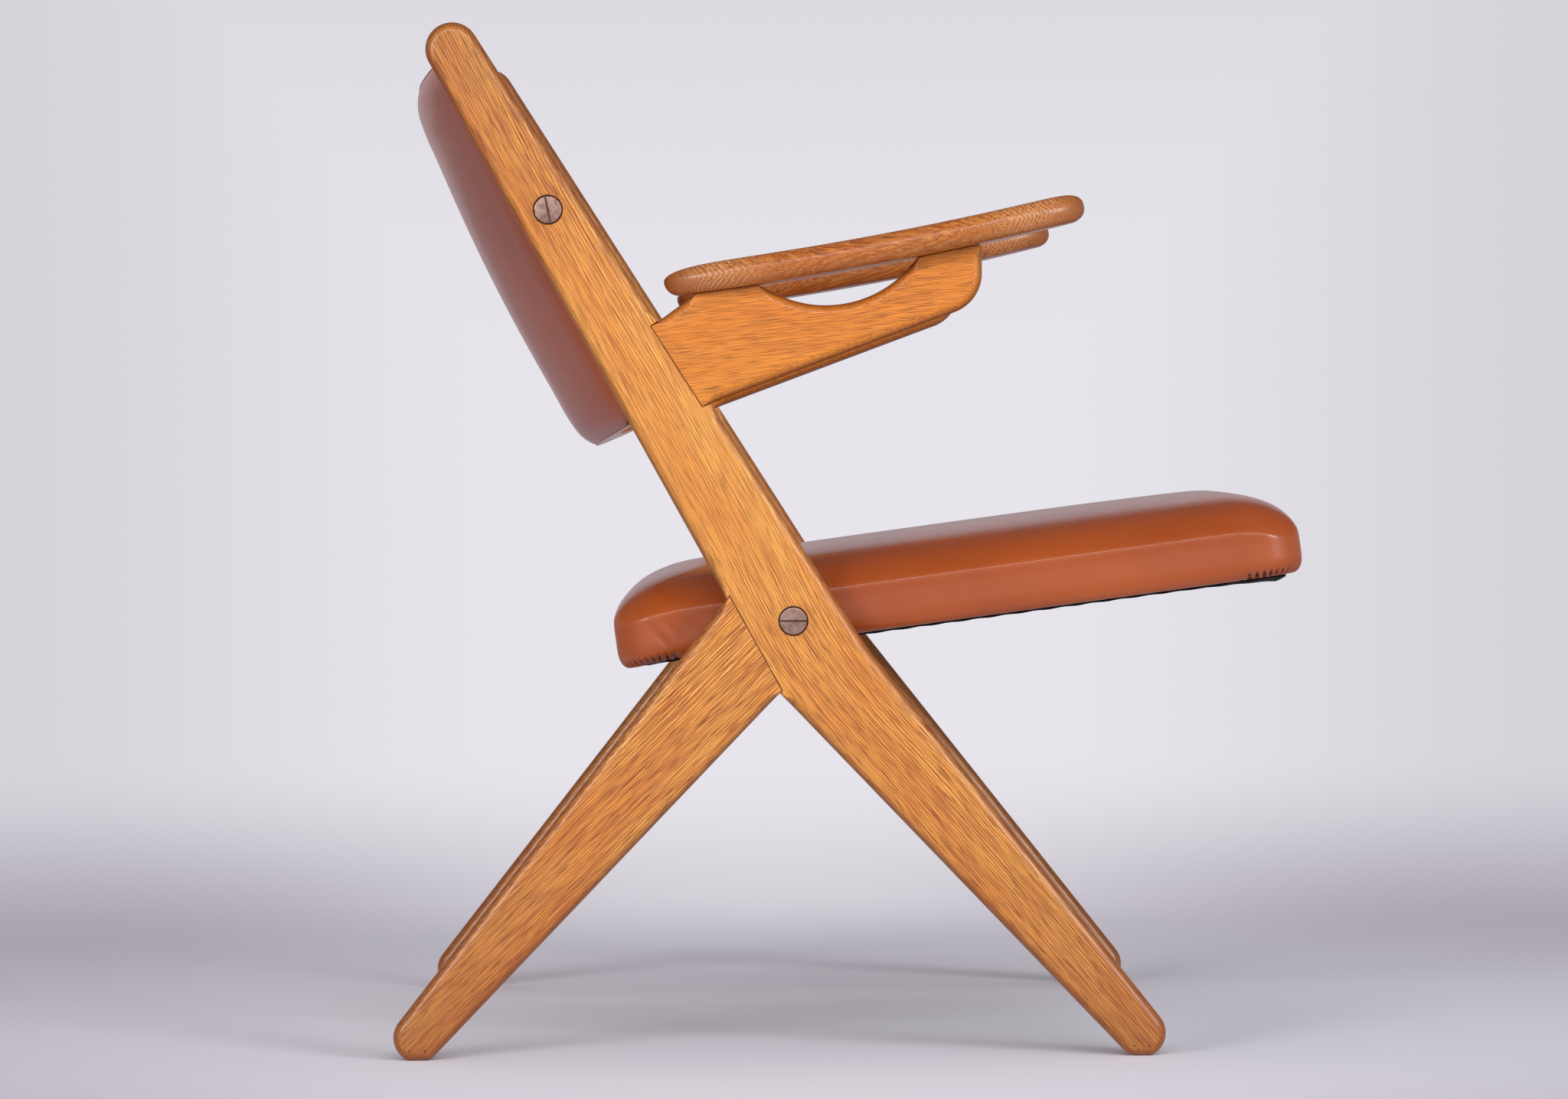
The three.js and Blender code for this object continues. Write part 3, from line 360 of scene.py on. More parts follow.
def middle_of(node):
    """Middle of a node's box."""
    low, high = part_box(node)
    return np.array((low + high) / 2)


SIDES = {"right": -1, "left": 1}
board_low, board_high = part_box("left_rear_leg")
BOARD_MIDDLE = (board_low.y + board_high.y) / 2
HALF_BOARD = (board_high.y - board_low.y) / 2
print(f"boards {2000 * HALF_BOARD:.1f} mm thick, {2000 * BOARD_MIDDLE:.0f} mm between their middles")

# %% [markdown]
# ## The side frames' drawing
#
# Each side frame is three flat boards: the upright that bends into the front leg, the rear leg let
# into the upright's rear edge, and the arm bracket let into its front edge. Such shapes are drawn as a
# belt pulled round circles: a round foot, a round top, the soft bend at the hip. A circle with a
# negative radius hollows the belt, which gives the scooped finger gap. All places are measured from
# the knee, the rear corner where the long board bends.

# %% Belt outlines
ARC_STEP = 0.0012
RUN_STEP = 0.004


def belt(circles):
    """Belt run counter-clockwise round circles (x, z, radius). Each straight run leaves one circle
    and reaches the next at one heading h, and a circle's points are centre + radius (sin h, -cos h)."""
    rounds = np.array(circles)
    steps = np.roll(rounds, -1, axis=0) - rounds
    slip = np.arcsin(steps[:, 2] / np.hypot(steps[:, 0], steps[:, 1]))
    leave = np.arctan2(steps[:, 1], steps[:, 0]) - slip
    arrive = np.roll(leave, 1)
    swing = (leave - arrive + np.pi) % (2 * np.pi) - np.pi
    arcs = []
    for (x, z, radius), start, angle in zip(rounds, arrive, swing):
        count = 1 + int(abs(radius * angle) / ARC_STEP)
        heading = start + angle * np.linspace(0, 1, count + 1)
        arcs.append(np.stack([x + radius * np.sin(heading), z - radius * np.cos(heading)], axis=1))
    return np.concatenate(arcs)


def divided(outline):
    """Closed outline with doubled points dropped and long runs divided into equal short ones."""
    runs = np.roll(outline, -1, axis=0) - outline
    length = np.hypot(runs[:, 0], runs[:, 1])
    kept = length > MERGE
    count = np.ceil(length[kept] / RUN_STEP).astype(int)
    first = np.repeat(np.cumsum(count) - count, count)
    share = (np.arange(count.sum()) - first) / np.repeat(count, count)
    starts, steps = (np.repeat(part[kept], count, axis=0) for part in (outline, runs))
    return starts + steps * share[:, None]


print("belt of a round foot has", len(belt([(0, 0, 0.0185), (0.2, 0.2, 0)])), "points")

# %% Upright, with its leg
KNEE_HEIGHT = 0.275
KNEE_RADIUS = 0.008
KNEE_CENTRE_RISE = 0.0027
UPRIGHT_RAKE = math.radians(28.6)
UPRIGHT_TOP_RADIUS = 0.020
CHAIR_HEIGHT = 0.780
HIP_WIDTH = 0.073
HIP_RISE = 0.0275
HIP_BLEND_RADIUS = 0.250
FOOT_RADIUS = 0.0185
FOOT_HEIGHT = FOOT_RADIUS - 0.0016  # a flat sole is planed off
FRONT_FOOT_REACH = 0.271

knee = np.array([0, KNEE_HEIGHT])
along_upright = np.array([-math.sin(UPRIGHT_RAKE), math.cos(UPRIGHT_RAKE)])
across_upright = np.array([math.cos(UPRIGHT_RAKE), math.sin(UPRIGHT_RAKE)])


def on_upright(rise, across):
    """Place at a rise along the upright's rear edge and a way across from it."""
    return knee + along_upright * rise + across_upright * across


top_level = CHAIR_HEIGHT - UPRIGHT_TOP_RADIUS - KNEE_HEIGHT
top_rise = (top_level - UPRIGHT_TOP_RADIUS * across_upright[1]) / along_upright[1]
upright_top = on_upright(top_rise, UPRIGHT_TOP_RADIUS)
hip = on_upright(HIP_RISE, HIP_WIDTH + HIP_BLEND_RADIUS)
UPRIGHT = belt([
    (FRONT_FOOT_REACH, FOOT_HEIGHT, FOOT_RADIUS),
    (*hip, -HIP_BLEND_RADIUS),
    (*upright_top, UPRIGHT_TOP_RADIUS),
    (*on_upright(KNEE_CENTRE_RISE, KNEE_RADIUS), KNEE_RADIUS),
])
print("upright outline", len(UPRIGHT), "points, top", round(UPRIGHT[:, 1].max(), 4))

# %% Front edge and bolts
SEAT_BOLT_RISE = 0.042
BACK_BOLT_RISE = 0.401
ARM_JOINT_HEIGHT = 0.524

hip_to_top = upright_top - hip
front_slip = math.asin((UPRIGHT_TOP_RADIUS + HIP_BLEND_RADIUS) / np.hypot(*hip_to_top))
front_heading = math.atan2(hip_to_top[1], hip_to_top[0]) - front_slip
along_front = np.array([math.cos(front_heading), math.sin(front_heading)])
across_front = np.array([along_front[1], -along_front[0]])
front_start = hip - across_front * HIP_BLEND_RADIUS


def bolt_place(rise):
    """Middle of the upright's width, at a distance along its rear edge."""
    rear = on_upright(rise, 0)
    width = (front_start - rear) @ across_front / (across_upright @ across_front)
    return rear + across_upright * width / 2


seat_bolt = bolt_place(SEAT_BOLT_RISE)
back_bolt = bolt_place(BACK_BOLT_RISE)
arm_joint = front_start + along_front * (ARM_JOINT_HEIGHT - front_start[1]) / along_front[1]
CHAIR_SHIFT = middle_of("right_seat_bolt")[0] - seat_bolt[0]  # from the knee to the chair's origin
print(f"knee at x = {CHAIR_SHIFT:.4f}; bolts {seat_bolt.round(4)}, {back_bolt.round(4)}")

# %% Rear leg and arm bracket
REAR_FOOT_REACH = 0.2735
REAR_LEG_HEAD = 0.083
REAR_LEG_HOUSING = 0.003
ARM_HOUSING = 0.0065
ROOT_LENGTH = 0.012  # drawn past a joint's plane, which trims it
BRACKET_ROOT = {"down": 0.033, "up": 0.035}
BRACKET_NOSE_RADIUS = 0.031
BRACKET_NOSE_DROP = 0.018
SCOOP_RADIUS = 0.084
SCOOP_DEPTH = 0.0244
SCOOP_BACK = 0.0295
FRONT_PAD = {"outer": 0.0755, "inner": 0.033, "outer_radius": 0.003, "inner_radius": 0.008}
REAR_PAD = {"outer": -0.136, "inner": -0.0915, "outer_radius": 0.006, "inner_radius": 0.002}
PADDLE_FORWARD = 0.144
PADDLE_RISE = 0.083
PADDLE_TILT = math.radians(10.1)
PADDLE_SWEEP = 2.5  # radius of the paddle's gentle curve
PADDLE_THICKNESS = 0.022
FIT_GAP = 0.0003

leg_line = np.array([REAR_FOOT_REACH, KNEE_HEIGHT - FOOT_HEIGHT])
leg_slant = leg_line @ along_upright / (leg_line @ across_upright)
leg_depth = REAR_LEG_HOUSING + ROOT_LENGTH


def leg_root(rise):
    """Corner of the rear leg inside the upright, carried in along the leg."""
    return on_upright(rise + leg_depth * leg_slant, leg_depth)


def bracket_root(rise):
    """Corner of the arm bracket inside the upright, square in from its front edge."""
    return arm_joint + along_front * rise - across_front * (ARM_HOUSING + ROOT_LENGTH)


def on_paddle(along, above):
    """Place `along` the paddle's curved middle line and `above` it: a turn round a far centre."""
    heading = PADDLE_TILT + along / PADDLE_SWEEP
    swept = PADDLE_SWEEP - above
    x = swept * np.sin(heading) - PADDLE_SWEEP * math.sin(PADDLE_TILT)
    z = PADDLE_SWEEP * math.cos(PADDLE_TILT) - swept * np.cos(heading)
    return np.stack([arm_joint[0] + PADDLE_FORWARD + x, arm_joint[1] + PADDLE_RISE + z], axis=-1)


def pad_corner(pad, end):
    """Round corner of a pad that the paddle rests on."""
    radius = pad[end + "_radius"]
    return (*on_paddle(pad[end], -PADDLE_THICKNESS / 2 - FIT_GAP - radius), radius)


REAR_LEG = belt([
    (-REAR_FOOT_REACH, FOOT_HEIGHT, FOOT_RADIUS),
    (*leg_root(0), 0),
    (*leg_root(REAR_LEG_HEAD), 0),
])
nose_corner = pad_corner(FRONT_PAD, "outer")
nose_x = nose_corner[0] + FRONT_PAD["outer_radius"] - BRACKET_NOSE_RADIUS
BRACKET = belt([
    (*bracket_root(-BRACKET_ROOT["down"]), 0),
    (nose_x, nose_corner[1] - BRACKET_NOSE_DROP, BRACKET_NOSE_RADIUS),
    nose_corner,
    pad_corner(FRONT_PAD, "inner"),
    (*on_paddle(-SCOOP_BACK, SCOOP_RADIUS - SCOOP_DEPTH - PADDLE_THICKNESS / 2), -SCOOP_RADIUS),
    pad_corner(REAR_PAD, "inner"),
    pad_corner(REAR_PAD, "outer"),
    (*bracket_root(BRACKET_ROOT["up"]), 0),
])
print("rear leg", len(REAR_LEG), "points, arm bracket", len(BRACKET), "points")

# %% [markdown]
# ## The joints
#
# The rear leg and the bracket stand a few millimetres inside the upright, and a fine dark line shows
# round them. A boolean cut would do it, but it leaves long thin faces. Trimming the outlines before
# there is any mesh keeps the boards clean: the joining board stops flat at the joint's plane, and the
# upright's outline steps in round it with a hair's gap.

# %% Trimmed and housed outlines
def trimmed(outline, plane, into):
    """Outline cut off at a plane. Its last two points are the ends of the cut."""
    depth = (outline - plane) @ into
    start = np.argmax((depth <= 0) & (np.roll(depth, 1) > 0))
    outline = np.roll(outline, -start, axis=0)
    depth = np.roll(depth, -start)
    last = np.count_nonzero(depth <= 0) - 1
    pairs = [(last, last + 1), (len(outline) - 1, 0)]
    cuts = [outline[i] + (outline[j] - outline[i]) * depth[i] / (depth[i] - depth[j]) for i, j in pairs]
    return np.concatenate([outline[:last + 1], cuts])


def crossing(outline, start, heading):
    """Stretch of a closed outline, and the place on it, where a line meets it nearest to its start."""
    offset = (outline - start) @ np.array([-heading[1], heading[0]])
    after = np.roll(offset, -1)
    meets = np.flatnonzero(offset * after <= 0)
    share = offset[meets] / (offset[meets] - after[meets])
    places = outline[meets] + share[:, None] * (np.roll(outline, -1, axis=0)[meets] - outline[meets])
    nearest = np.argmin(np.hypot(*(places - start).T))
    return meets[nearest], places[nearest]


def housed(outline, joining, into):
    """Outline stepped in round a trimmed board, in along one edge, along the plane and out along the
    other, and the straight runs of that step."""
    spread = joining[-1] - joining[-2]
    gap = FIT_GAP * spread / np.hypot(*spread)
    far_corner = joining[-2] + FIT_GAP * into - gap
    near_corner = joining[-1] + FIT_GAP * into + gap
    enter, enter_place = crossing(outline, near_corner, joining[0] - joining[-1])
    leave, leave_place = crossing(outline, far_corner, joining[-3] - joining[-2])
    step = np.array([enter_place, near_corner, far_corner, leave_place])
    rest = np.roll(outline, -leave - 1, axis=0)[:(enter - leave - 1) % len(outline) + 1]
    return np.concatenate([step, rest]), list(zip(step[:-1], step[1:]))


rear_leg_outline = trimmed(REAR_LEG, on_upright(0, REAR_LEG_HOUSING), across_upright)
bracket_outline = trimmed(BRACKET, arm_joint - across_front * ARM_HOUSING, -across_front)
upright_outline, leg_housing = housed(UPRIGHT, rear_leg_outline, across_upright)
upright_outline, arm_housing = housed(upright_outline, bracket_outline, -across_front)
print("upright", len(upright_outline), "points with both housings")

# %% [markdown]
# ## Boards with worked edges
#
# The long edges of the real boards are rounded over by hand, full along the free edges and dying away
# beside the joints and under the paddle. A Bevel modifier has one width for all, so the round-over is
# worked out here: each ring of the board is the outline drawn in by r (1 - sin a), at r (1 - cos a)
# below the face, and r itself changes along the outline. Bores for bolts and pins are rings as well.

# %% Round-over and bores
ROUND_OVER = 0.0075
SHARP_EDGE = 0.0008
EDGE_REACH = 0.013  # from a joint to the full round-over
ROUND_STEPS = 8
FACE_MARGIN = 0.0006  # a flat strip inside the round-over keeps the faces flat
BORE_SIDES = 48


def outward(outline):
    """Mitred normals: two neighbouring edges' normals added, over one plus their product."""
    runs = np.roll(outline, -1, axis=0) - outline
    normal = np.stack([runs[:, 1], -runs[:, 0]], axis=1) / np.hypot(*runs.T)[:, None]
    before = np.roll(normal, 1, axis=0)
    return (normal + before) / (1 + (normal * before).sum(axis=1))[:, None]


def distance_to_run(points, start, end):
    """Distance from points to a straight run between two places."""
    run = end - start
    share = np.clip((points - start) @ run / (run @ run), 0, 1)
    return np.hypot(*(points - start - share[:, None] * run).T)


def smooth_share(value):
    """Smooth step 3 t^2 - 2 t^3 of a value from 0 to 1."""
    share = np.clip(value, 0, 1)
    return share * share * (3 - 2 * share)


def edge_radius(outline, square_runs):
    """Radius of the round-over along an outline: full, and dying away beside the given runs."""
    near = np.min([distance_to_run(outline, start, end) for start, end in square_runs], axis=0)
    return SHARP_EDGE + (ROUND_OVER - SHARP_EDGE) * smooth_share(near / EDGE_REACH)


def standing(flat, level, side):
    """Places in the chair from places on the drawing and a level out from the board's middle."""
    return np.stack([flat[..., 0] + CHAIR_SHIFT, side * (BOARD_MIDDLE + level), flat[..., 1]], axis=-1)


def bore_rings(place, steps, side):
    """Rings of a bore: each step is a radius and a level."""
    angle = once_round(BORE_SIDES)
    circle = np.stack([np.cos(angle), np.sin(angle)], axis=1)
    radius, level = np.array(steps).T
    flat = place + radius[:, None, None] * circle
    return standing(flat, np.broadcast_to(level[:, None], flat.shape[:2]), side)


print("round-over of", 1000 * ROUND_OVER, "mm in", ROUND_STEPS, "steps")

# %% Board surface
def face_triangles(points, rim, holes):
    """Triangles of a flat face between its rim and its holes, all given as point numbers."""
    loops = [rim, *holes]
    corners = [[Vector(p) for p in points[loop].tolist()] for loop in loops]
    numbers = np.concatenate(loops)
    return [numbers[list(triangle)].tolist() for triangle in tessellate_polygon(corners)]


def board(name, outline, side, square_runs, bores=()):
    """Flat board: rings of its outline from the outer face round the edge to the inner face."""
    outline = divided(outline)
    outline[:, 1] = np.maximum(outline[:, 1], 0)
    radius = edge_radius(outline, square_runs)
    bend = np.linspace(0, np.pi / 2, ROUND_STEPS + 1)[:, None]
    drawn_in = np.concatenate([radius[None] + FACE_MARGIN, radius * (1 - np.sin(bend))])
    below = np.concatenate([0 * radius[None], radius * (1 - np.cos(bend))])
    drawn_in = np.concatenate([drawn_in, drawn_in[::-1]])
    level = np.concatenate([HALF_BOARD - below, below[::-1] - HALF_BOARD])
    points = standing(outline - outward(outline) * drawn_in[..., None], level, side)
    numbers = numbered(points.shape)
    points = points.reshape(-1, 3)
    faces = between_rings(numbers)
    holes = {HALF_BOARD: [], -HALF_BOARD: []}
    for place, steps in bores:
        rings = bore_rings(place, steps, side)
        ring_numbers = numbered(rings.shape, len(points))
        points = np.concatenate([points, rings.reshape(-1, 3)])
        faces += between_rings(ring_numbers)
        holes[steps[0][1]].append(ring_numbers[0])
        if steps[-1][1] in holes:
            holes[steps[-1][1]].append(ring_numbers[-1])
        else:
            faces.append(ring_numbers[-1].tolist())
    faces += face_triangles(points, numbers[0], holes[HALF_BOARD])
    faces += face_triangles(points, numbers[-1], holes[-HALF_BOARD])
    return new_piece(name, points, faces)


print("a board has", 2 * (ROUND_STEPS + 2), "rings")

# %% Boards of both side frames
BOLT_CLEAR = 0.0043
RECESS_RADIUS = 0.0112
RECESS_DEPTH = 0.0053
RECESS_LIP = 0.0004
PIN_CLEAR = 0.0053
PIN_DEPTH = 0.0183

bolt_bore = [
    (RECESS_RADIUS + RECESS_LIP, HALF_BOARD),
    (RECESS_RADIUS, HALF_BOARD - RECESS_LIP),
    (RECESS_RADIUS, HALF_BOARD - RECESS_DEPTH),
    (BOLT_CLEAR, HALF_BOARD - RECESS_DEPTH),
    (BOLT_CLEAR, -HALF_BOARD),
]
pin_bore = [(PIN_CLEAR, -HALF_BOARD), (PIN_CLEAR, PIN_DEPTH - HALF_BOARD)]
pin_place = middle_of("right_seat_pin")[[0, 2]] - [CHAIR_SHIFT, 0]
leg_run = (rear_leg_outline[-2], rear_leg_outline[-1])
bracket_run = (bracket_outline[-2], bracket_outline[-1])
pad_runs = [
    (on_paddle(pad["inner"], -PADDLE_THICKNESS / 2), on_paddle(pad["outer"], -PADDLE_THICKNESS / 2))
    for pad in (FRONT_PAD, REAR_PAD)
]

boards = {}
for name, side in SIDES.items():
    bores = [(seat_bolt, bolt_bore), (back_bolt, bolt_bore)]
    boards[name + "_upright_leg"] = board(name + "_upright_board", upright_outline, side,
                                          leg_housing + arm_housing, bores)
    boards[name + "_rear_leg"] = board(name + "_rear_leg_board", rear_leg_outline, side,
                                       [leg_run], [(pin_place, pin_bore)])
    boards[name + "_arm_bracket"] = board(name + "_arm_bracket_board", bracket_outline, side,
                                          [bracket_run, *pad_runs])
print({node: len(piece.data.polygons) for node, piece in boards.items()})

# %% [markdown]
# ## Arm paddles
#
# A paddle is a slim oak slab, a little wider in front, flat on top with full round edges and rounded
# ends. It could be a subdivided box, but its ends matter: as the wood is rounded away there, the grain
# shows as chevrons. So the paddle is a section carried along a gentle arc: at a share s of its length
# the half width is (1 - |s|^3)^(1/3), and the top and underside fall to the end as roots.

# %% Paddle surface
PADDLE_LENGTH = 0.321
PADDLE_WIDTH = 0.082
PADDLE_FLARE = 0.08
PADDLE_FULLNESS = 3
PADDLE_FALL = {"rear": 8, "front": 22}
PADDLE_STATIONS = 140
PADDLE_CROWN = 0.0012  # the top's middle stands above its edges
EDGE_COLUMNS = 18
FLAT_COLUMNS = 14


def paddle_section():
    """Columns round a section: shares across the flat, and the turn's cosine and sine at the edges."""
    turn = np.linspace(-np.pi / 2, np.pi / 2, EDGE_COLUMNS)
    across = np.linspace(1, -1, FLAT_COLUMNS + 2)[1:-1]
    level = np.zeros(FLAT_COLUMNS)
    edge = np.ones(EDGE_COLUMNS)
    share = np.concatenate([edge, across, -edge, across[::-1]])
    cosine = np.concatenate([np.cos(turn), level, -np.cos(turn), level])
    sine = np.concatenate([np.sin(turn), level + 1, np.sin(turn[::-1]), level - 1])
    return share, cosine, sine


def paddle(name, side):
    """The section carried from the rear end, s = -1, to the front end, s = 1."""
    s = -np.cos(np.linspace(0, np.pi, PADDLE_STATIONS + 1))[:, None]
    end = np.abs(s)
    full = (1 - end ** PADDLE_FULLNESS) ** (1 / PADDLE_FULLNESS)
    wide = PADDLE_WIDTH / 2 * full * (1 + PADDLE_FLARE * s)
    fall = np.where(s < 0, PADDLE_FALL["rear"], PADDLE_FALL["front"])
    above = PADDLE_THICKNESS / 2 * np.sqrt(1 - end ** fall)
    to_end = np.minimum(1, (1 - end) * PADDLE_LENGTH / PADDLE_THICKNESS)
    below = PADDLE_THICKNESS / 2 * np.sqrt(1 - (1 - to_end) ** 2)
    share, cosine, sine = paddle_section()
    edge = np.minimum(wide, above)
    aside = share * (wide - edge) + edge * cosine
    crown = PADDLE_CROWN * np.clip(sine, 0, 1) * (aside / np.maximum(wide, MERGE)) ** 2
    height = np.where(sine > 0, above, below) * sine - crown * above / PADDLE_THICKNESS * 2
    flat = on_paddle(np.broadcast_to(s * PADDLE_LENGTH / 2, height.shape), height)
    points = standing(flat, side * aside, side)
    return new_piece(name, points, between_rings(numbered(points.shape)))


for name, side in SIDES.items():
    boards[name + "_arm_paddle"] = paddle(name + "_arm_paddle_slab", side)
print("paddle", len(boards["right_arm_paddle"].data.polygons), "faces")

# %% [markdown]
# ## Oak
#
# The boards are oiled oak: honey coloured, with fine dark pores drawn out along the grain, slow streaks
# of a redder brown, and a darker brown round the rounded-over edges, with painted shade towards the
# feet and the top. Wood is a solid, so its pattern is worked out in three dimensions: each board
# carries its own grain axes as an attribute, along the grain, across the growth rings and along them,
# and one finish reads that attribute.

# %% Grain of the boards
FRONT_LEG_GRAIN = math.radians(-50)  # a little steeper than the leg
BRACKET_GRAIN = math.radians(6)
BRACKET_FINENESS = (1, 1.4, 1.4)  # its rings and pores lie closer
LEG_GRAIN = math.atan2(leg_line[1], leg_line[0])
UPRIGHT_GRAIN = math.atan2(-along_upright[1], -along_upright[0])
BEND_REACH = (0.20, 0.40)  # heights between which the upright's grain swings round
RING_LEAN = 0.35  # how far the rings lie over, out of a board's face


def along_and_across(points, angle):
    """Distances along and across a heading in the side view."""
    x, z = points[:, 0] - CHAIR_SHIFT, points[:, 2] - KNEE_HEIGHT
    along = x * math.cos(angle) + z * math.sin(angle)
    return along, z * math.cos(angle) - x * math.sin(angle)


def board_grain(points, angle):
    """Along the grain, across the rings and along the rings, with the rings leaning out of the face."""
    along, across = along_and_across(points, angle)
    through = np.abs(points[:, 1]) - BOARD_MIDDLE
    return np.stack([along, across + RING_LEAN * through, through - RING_LEAN * across], axis=1)


def upright_grain(points):
    """The upright's straight grain, swinging over to the front leg's below the knee."""
    low, high = BEND_REACH
    share = smooth_share((points[:, 2] - low) / (high - low))[:, None]
    leg = board_grain(points, FRONT_LEG_GRAIN)
    return leg * (1 - share) + board_grain(points, UPRIGHT_GRAIN) * share


print("grain runs at", [round(math.degrees(a)) for a in (LEG_GRAIN, UPRIGHT_GRAIN)], "degrees")

# %% Grain of the paddles
CHEVRON = 0.061  # how far the rings run out towards the paddle's ends
CHEVRON_SLANT = 0.1  # and how fast along its middle
CHEVRON_POINT = 0.0015  # roundness of a chevron's point
RING_RISE = 0.7  # how much of a point's height counts
RING_ASIDE = 0.12  # and of its way aside
RING_SPREAD = 0.8  # wider rings than in the boards
FIGURE_PLACE = 0.118  # from the paddle's middle to where the chevrons are pale
FIGURE_WIDTH = 0.028

paddle_middle = np.array([arm_joint[0] + PADDLE_FORWARD + CHAIR_SHIFT, 0, arm_joint[1] + PADDLE_RISE])


def bell(distance, width):
    """Bell curve exp(-(d/w)^2): 1 in its middle, and soon 0 beyond its width."""
    return np.exp(-(distance / width) ** 2)


def paddle_grain(points):
    """Rings that bend round the paddle's middle line and run out at its ends, which cuts them to
    chevrons: the root of height squared plus a small square, plus the cube of the way along. Also the
    pale figure, a bell round the chevrons of each end."""
    along, across = along_and_across(points, PADDLE_TILT)
    middle_along, middle_across = along_and_across(paddle_middle[None], PADDLE_TILT)
    along = along - middle_along
    height = across - middle_across - along ** 2 / (2 * PADDLE_SWEEP)
    aside = np.abs(points[:, 1]) - BOARD_MIDDLE
    run_out = CHEVRON * (2 * along / PADDLE_LENGTH) ** 3 + CHEVRON_SLANT * along
    bent = RING_RISE * np.sqrt(height ** 2 + CHEVRON_POINT ** 2)
    ring = RING_SPREAD * (bent + run_out + RING_ASIDE * aside)
    figure = bell(np.abs(along) - FIGURE_PLACE, FIGURE_WIDTH)
    return np.stack([along, ring, aside + height], axis=1), figure


print("chevrons", round(1000 * FIGURE_PLACE), "mm from a paddle's middle")

# %% Wear and coarseness
EDGE_TURN = 0.40  # how far a face turns before it counts as a darker edge
EDGE_DARKENING = 0.85
# painted shade: the boards darken towards the feet and towards the top
FOOT_SHADE = {"share": 0.76, "below": 0.35}
TOP_SHADE = {"share": 0.42, "above": 0.594, "reach": 0.18}
PADDLE_DARKENING = {"everywhere": 0.18, "ends": 0.70, "power": 6}
COARSE = 1.2  # strength of the grain
FINER = {"by": 0.45, "height": 0.46, "reach": 0.18}  # up the upright's middle


def board_edges_and_shade(piece):
    """How dark a point is: worked round an edge, 0 on the flat faces and 1 where the normal
    lies level, plus painted shade a little towards the feet and the top."""
    normal = np.empty(3 * len(piece.data.vertices))
    piece.data.vertices.foreach_get("normal", normal)
    level = 1 - np.abs(normal.reshape(-1, 3)[:, 1])
    height = points_of(piece)[:, 2]
    # painted shade towards the feet and the top
    foot = FOOT_SHADE["share"] * np.clip(1 - height / FOOT_SHADE["below"], 0, 1) ** 2
    top = TOP_SHADE["share"] * np.clip((height - TOP_SHADE["above"]) / TOP_SHADE["reach"], 0, 1)
    return np.clip(EDGE_DARKENING * np.clip(level / EDGE_TURN, 0, 1) + foot + top, 0, 1)


def upright_coarseness(points):
    """How strong the upright's grain is: full on the leg, and finer up its middle by a bell."""
    return COARSE - FINER["by"] * bell(points[:, 2] - FINER["height"], FINER["reach"])


def paddle_darkening(points):
    """Darker all over, and more towards the paddle's ends: the share of the half length, to a high power.
    """
    along = np.hypot(points[:, 0] - paddle_middle[0], points[:, 2] - paddle_middle[2])
    share = np.clip(2 * along / PADDLE_LENGTH, 0, 1)
    return PADDLE_DARKENING["everywhere"] + PADDLE_DARKENING["ends"] * share ** PADDLE_DARKENING["power"]


print("the upright's grain is finest", FINER["height"], "m up")

# %% Grain written on every board
BOARD_SPACING = 0.7  # boards cut apart in one log
BOARD_REDNESS = {"upright_leg": 0.15, "rear_leg": 0.15, "arm_bracket": -0.6, "arm_paddle": 0.92}


def write(piece, name, values):
    """Puts one number, or one vector, for each point into a named attribute."""
    kind, field = ("FLOAT", "value") if values.ndim == 1 else ("FLOAT_VECTOR", "vector")
    attribute = piece.data.attributes.new(name, kind, "POINT")
    attribute.data.foreach_set(field, values.astype(np.float32).ravel())


for number, (node, piece) in enumerate(boards.items()):
    place = points_of(piece)
    kind = node.split("_", 1)[1]
    even = np.ones(len(place))
    figure, coarse = 0 * even, COARSE * even
    if kind == "upright_leg":
        grain, coarse = upright_grain(place), upright_coarseness(place)
    elif kind == "rear_leg":
        grain = board_grain(place, LEG_GRAIN)
    elif kind == "arm_bracket":
        grain = board_grain(place, BRACKET_GRAIN) * BRACKET_FINENESS
    else:
        grain, figure = paddle_grain(place)
    write(piece, "figure", figure)
    write(piece, "coarse", coarse)
    write(piece, "grain", grain + BOARD_SPACING * np.array([number, 0, number]))
    # darker edges, and painted shade towards the feet and the top
    write(piece, "edges_and_shade", paddle_darkening(place) if kind == "arm_paddle" else board_edges_and_shade(piece))
    write(piece, "redness", BOARD_REDNESS[kind] * even)
print("grain written on", len(boards), "boards")

# %% Oak finish
OAK_LIGHT = colour(252, 184, 88)
OAK_HONEY = colour(243, 162, 67)
OAK_RED = colour(174, 88, 35)
OAK_LATE = colour(158, 80, 32)
# colour of the darker edges and of the painted shade towards the feet and the top
OAK_EDGE_AND_SHADE = colour(118, 56, 26)
OAK_PORE = colour(126, 64, 26)
OAK_PALE = colour(238, 186, 142)
OAK_GOLD = colour(222, 126, 24)
OAK_SCALES = {  # along the grain, across the rings and along them, to a metre
    "drift": (2.2, 16, 16),
    "slow": (5, 26, 26),
    "streak": (18, 1700, 1700),
    "fibre": (40, 2600, 2600),
}
PORE_SCALE = (60, 1900, 1900)
RINGS = 470  # to a metre
RING_DRIFT = 0.030
RING_WAVER = 0.0016
OAK_COVER = {
    "ring": 0.54, "streak": 0.90, "fibre": 0.30, "red": 0.62, "edge": 0.72, "pale": 0.68, "pore": 0.66,
}


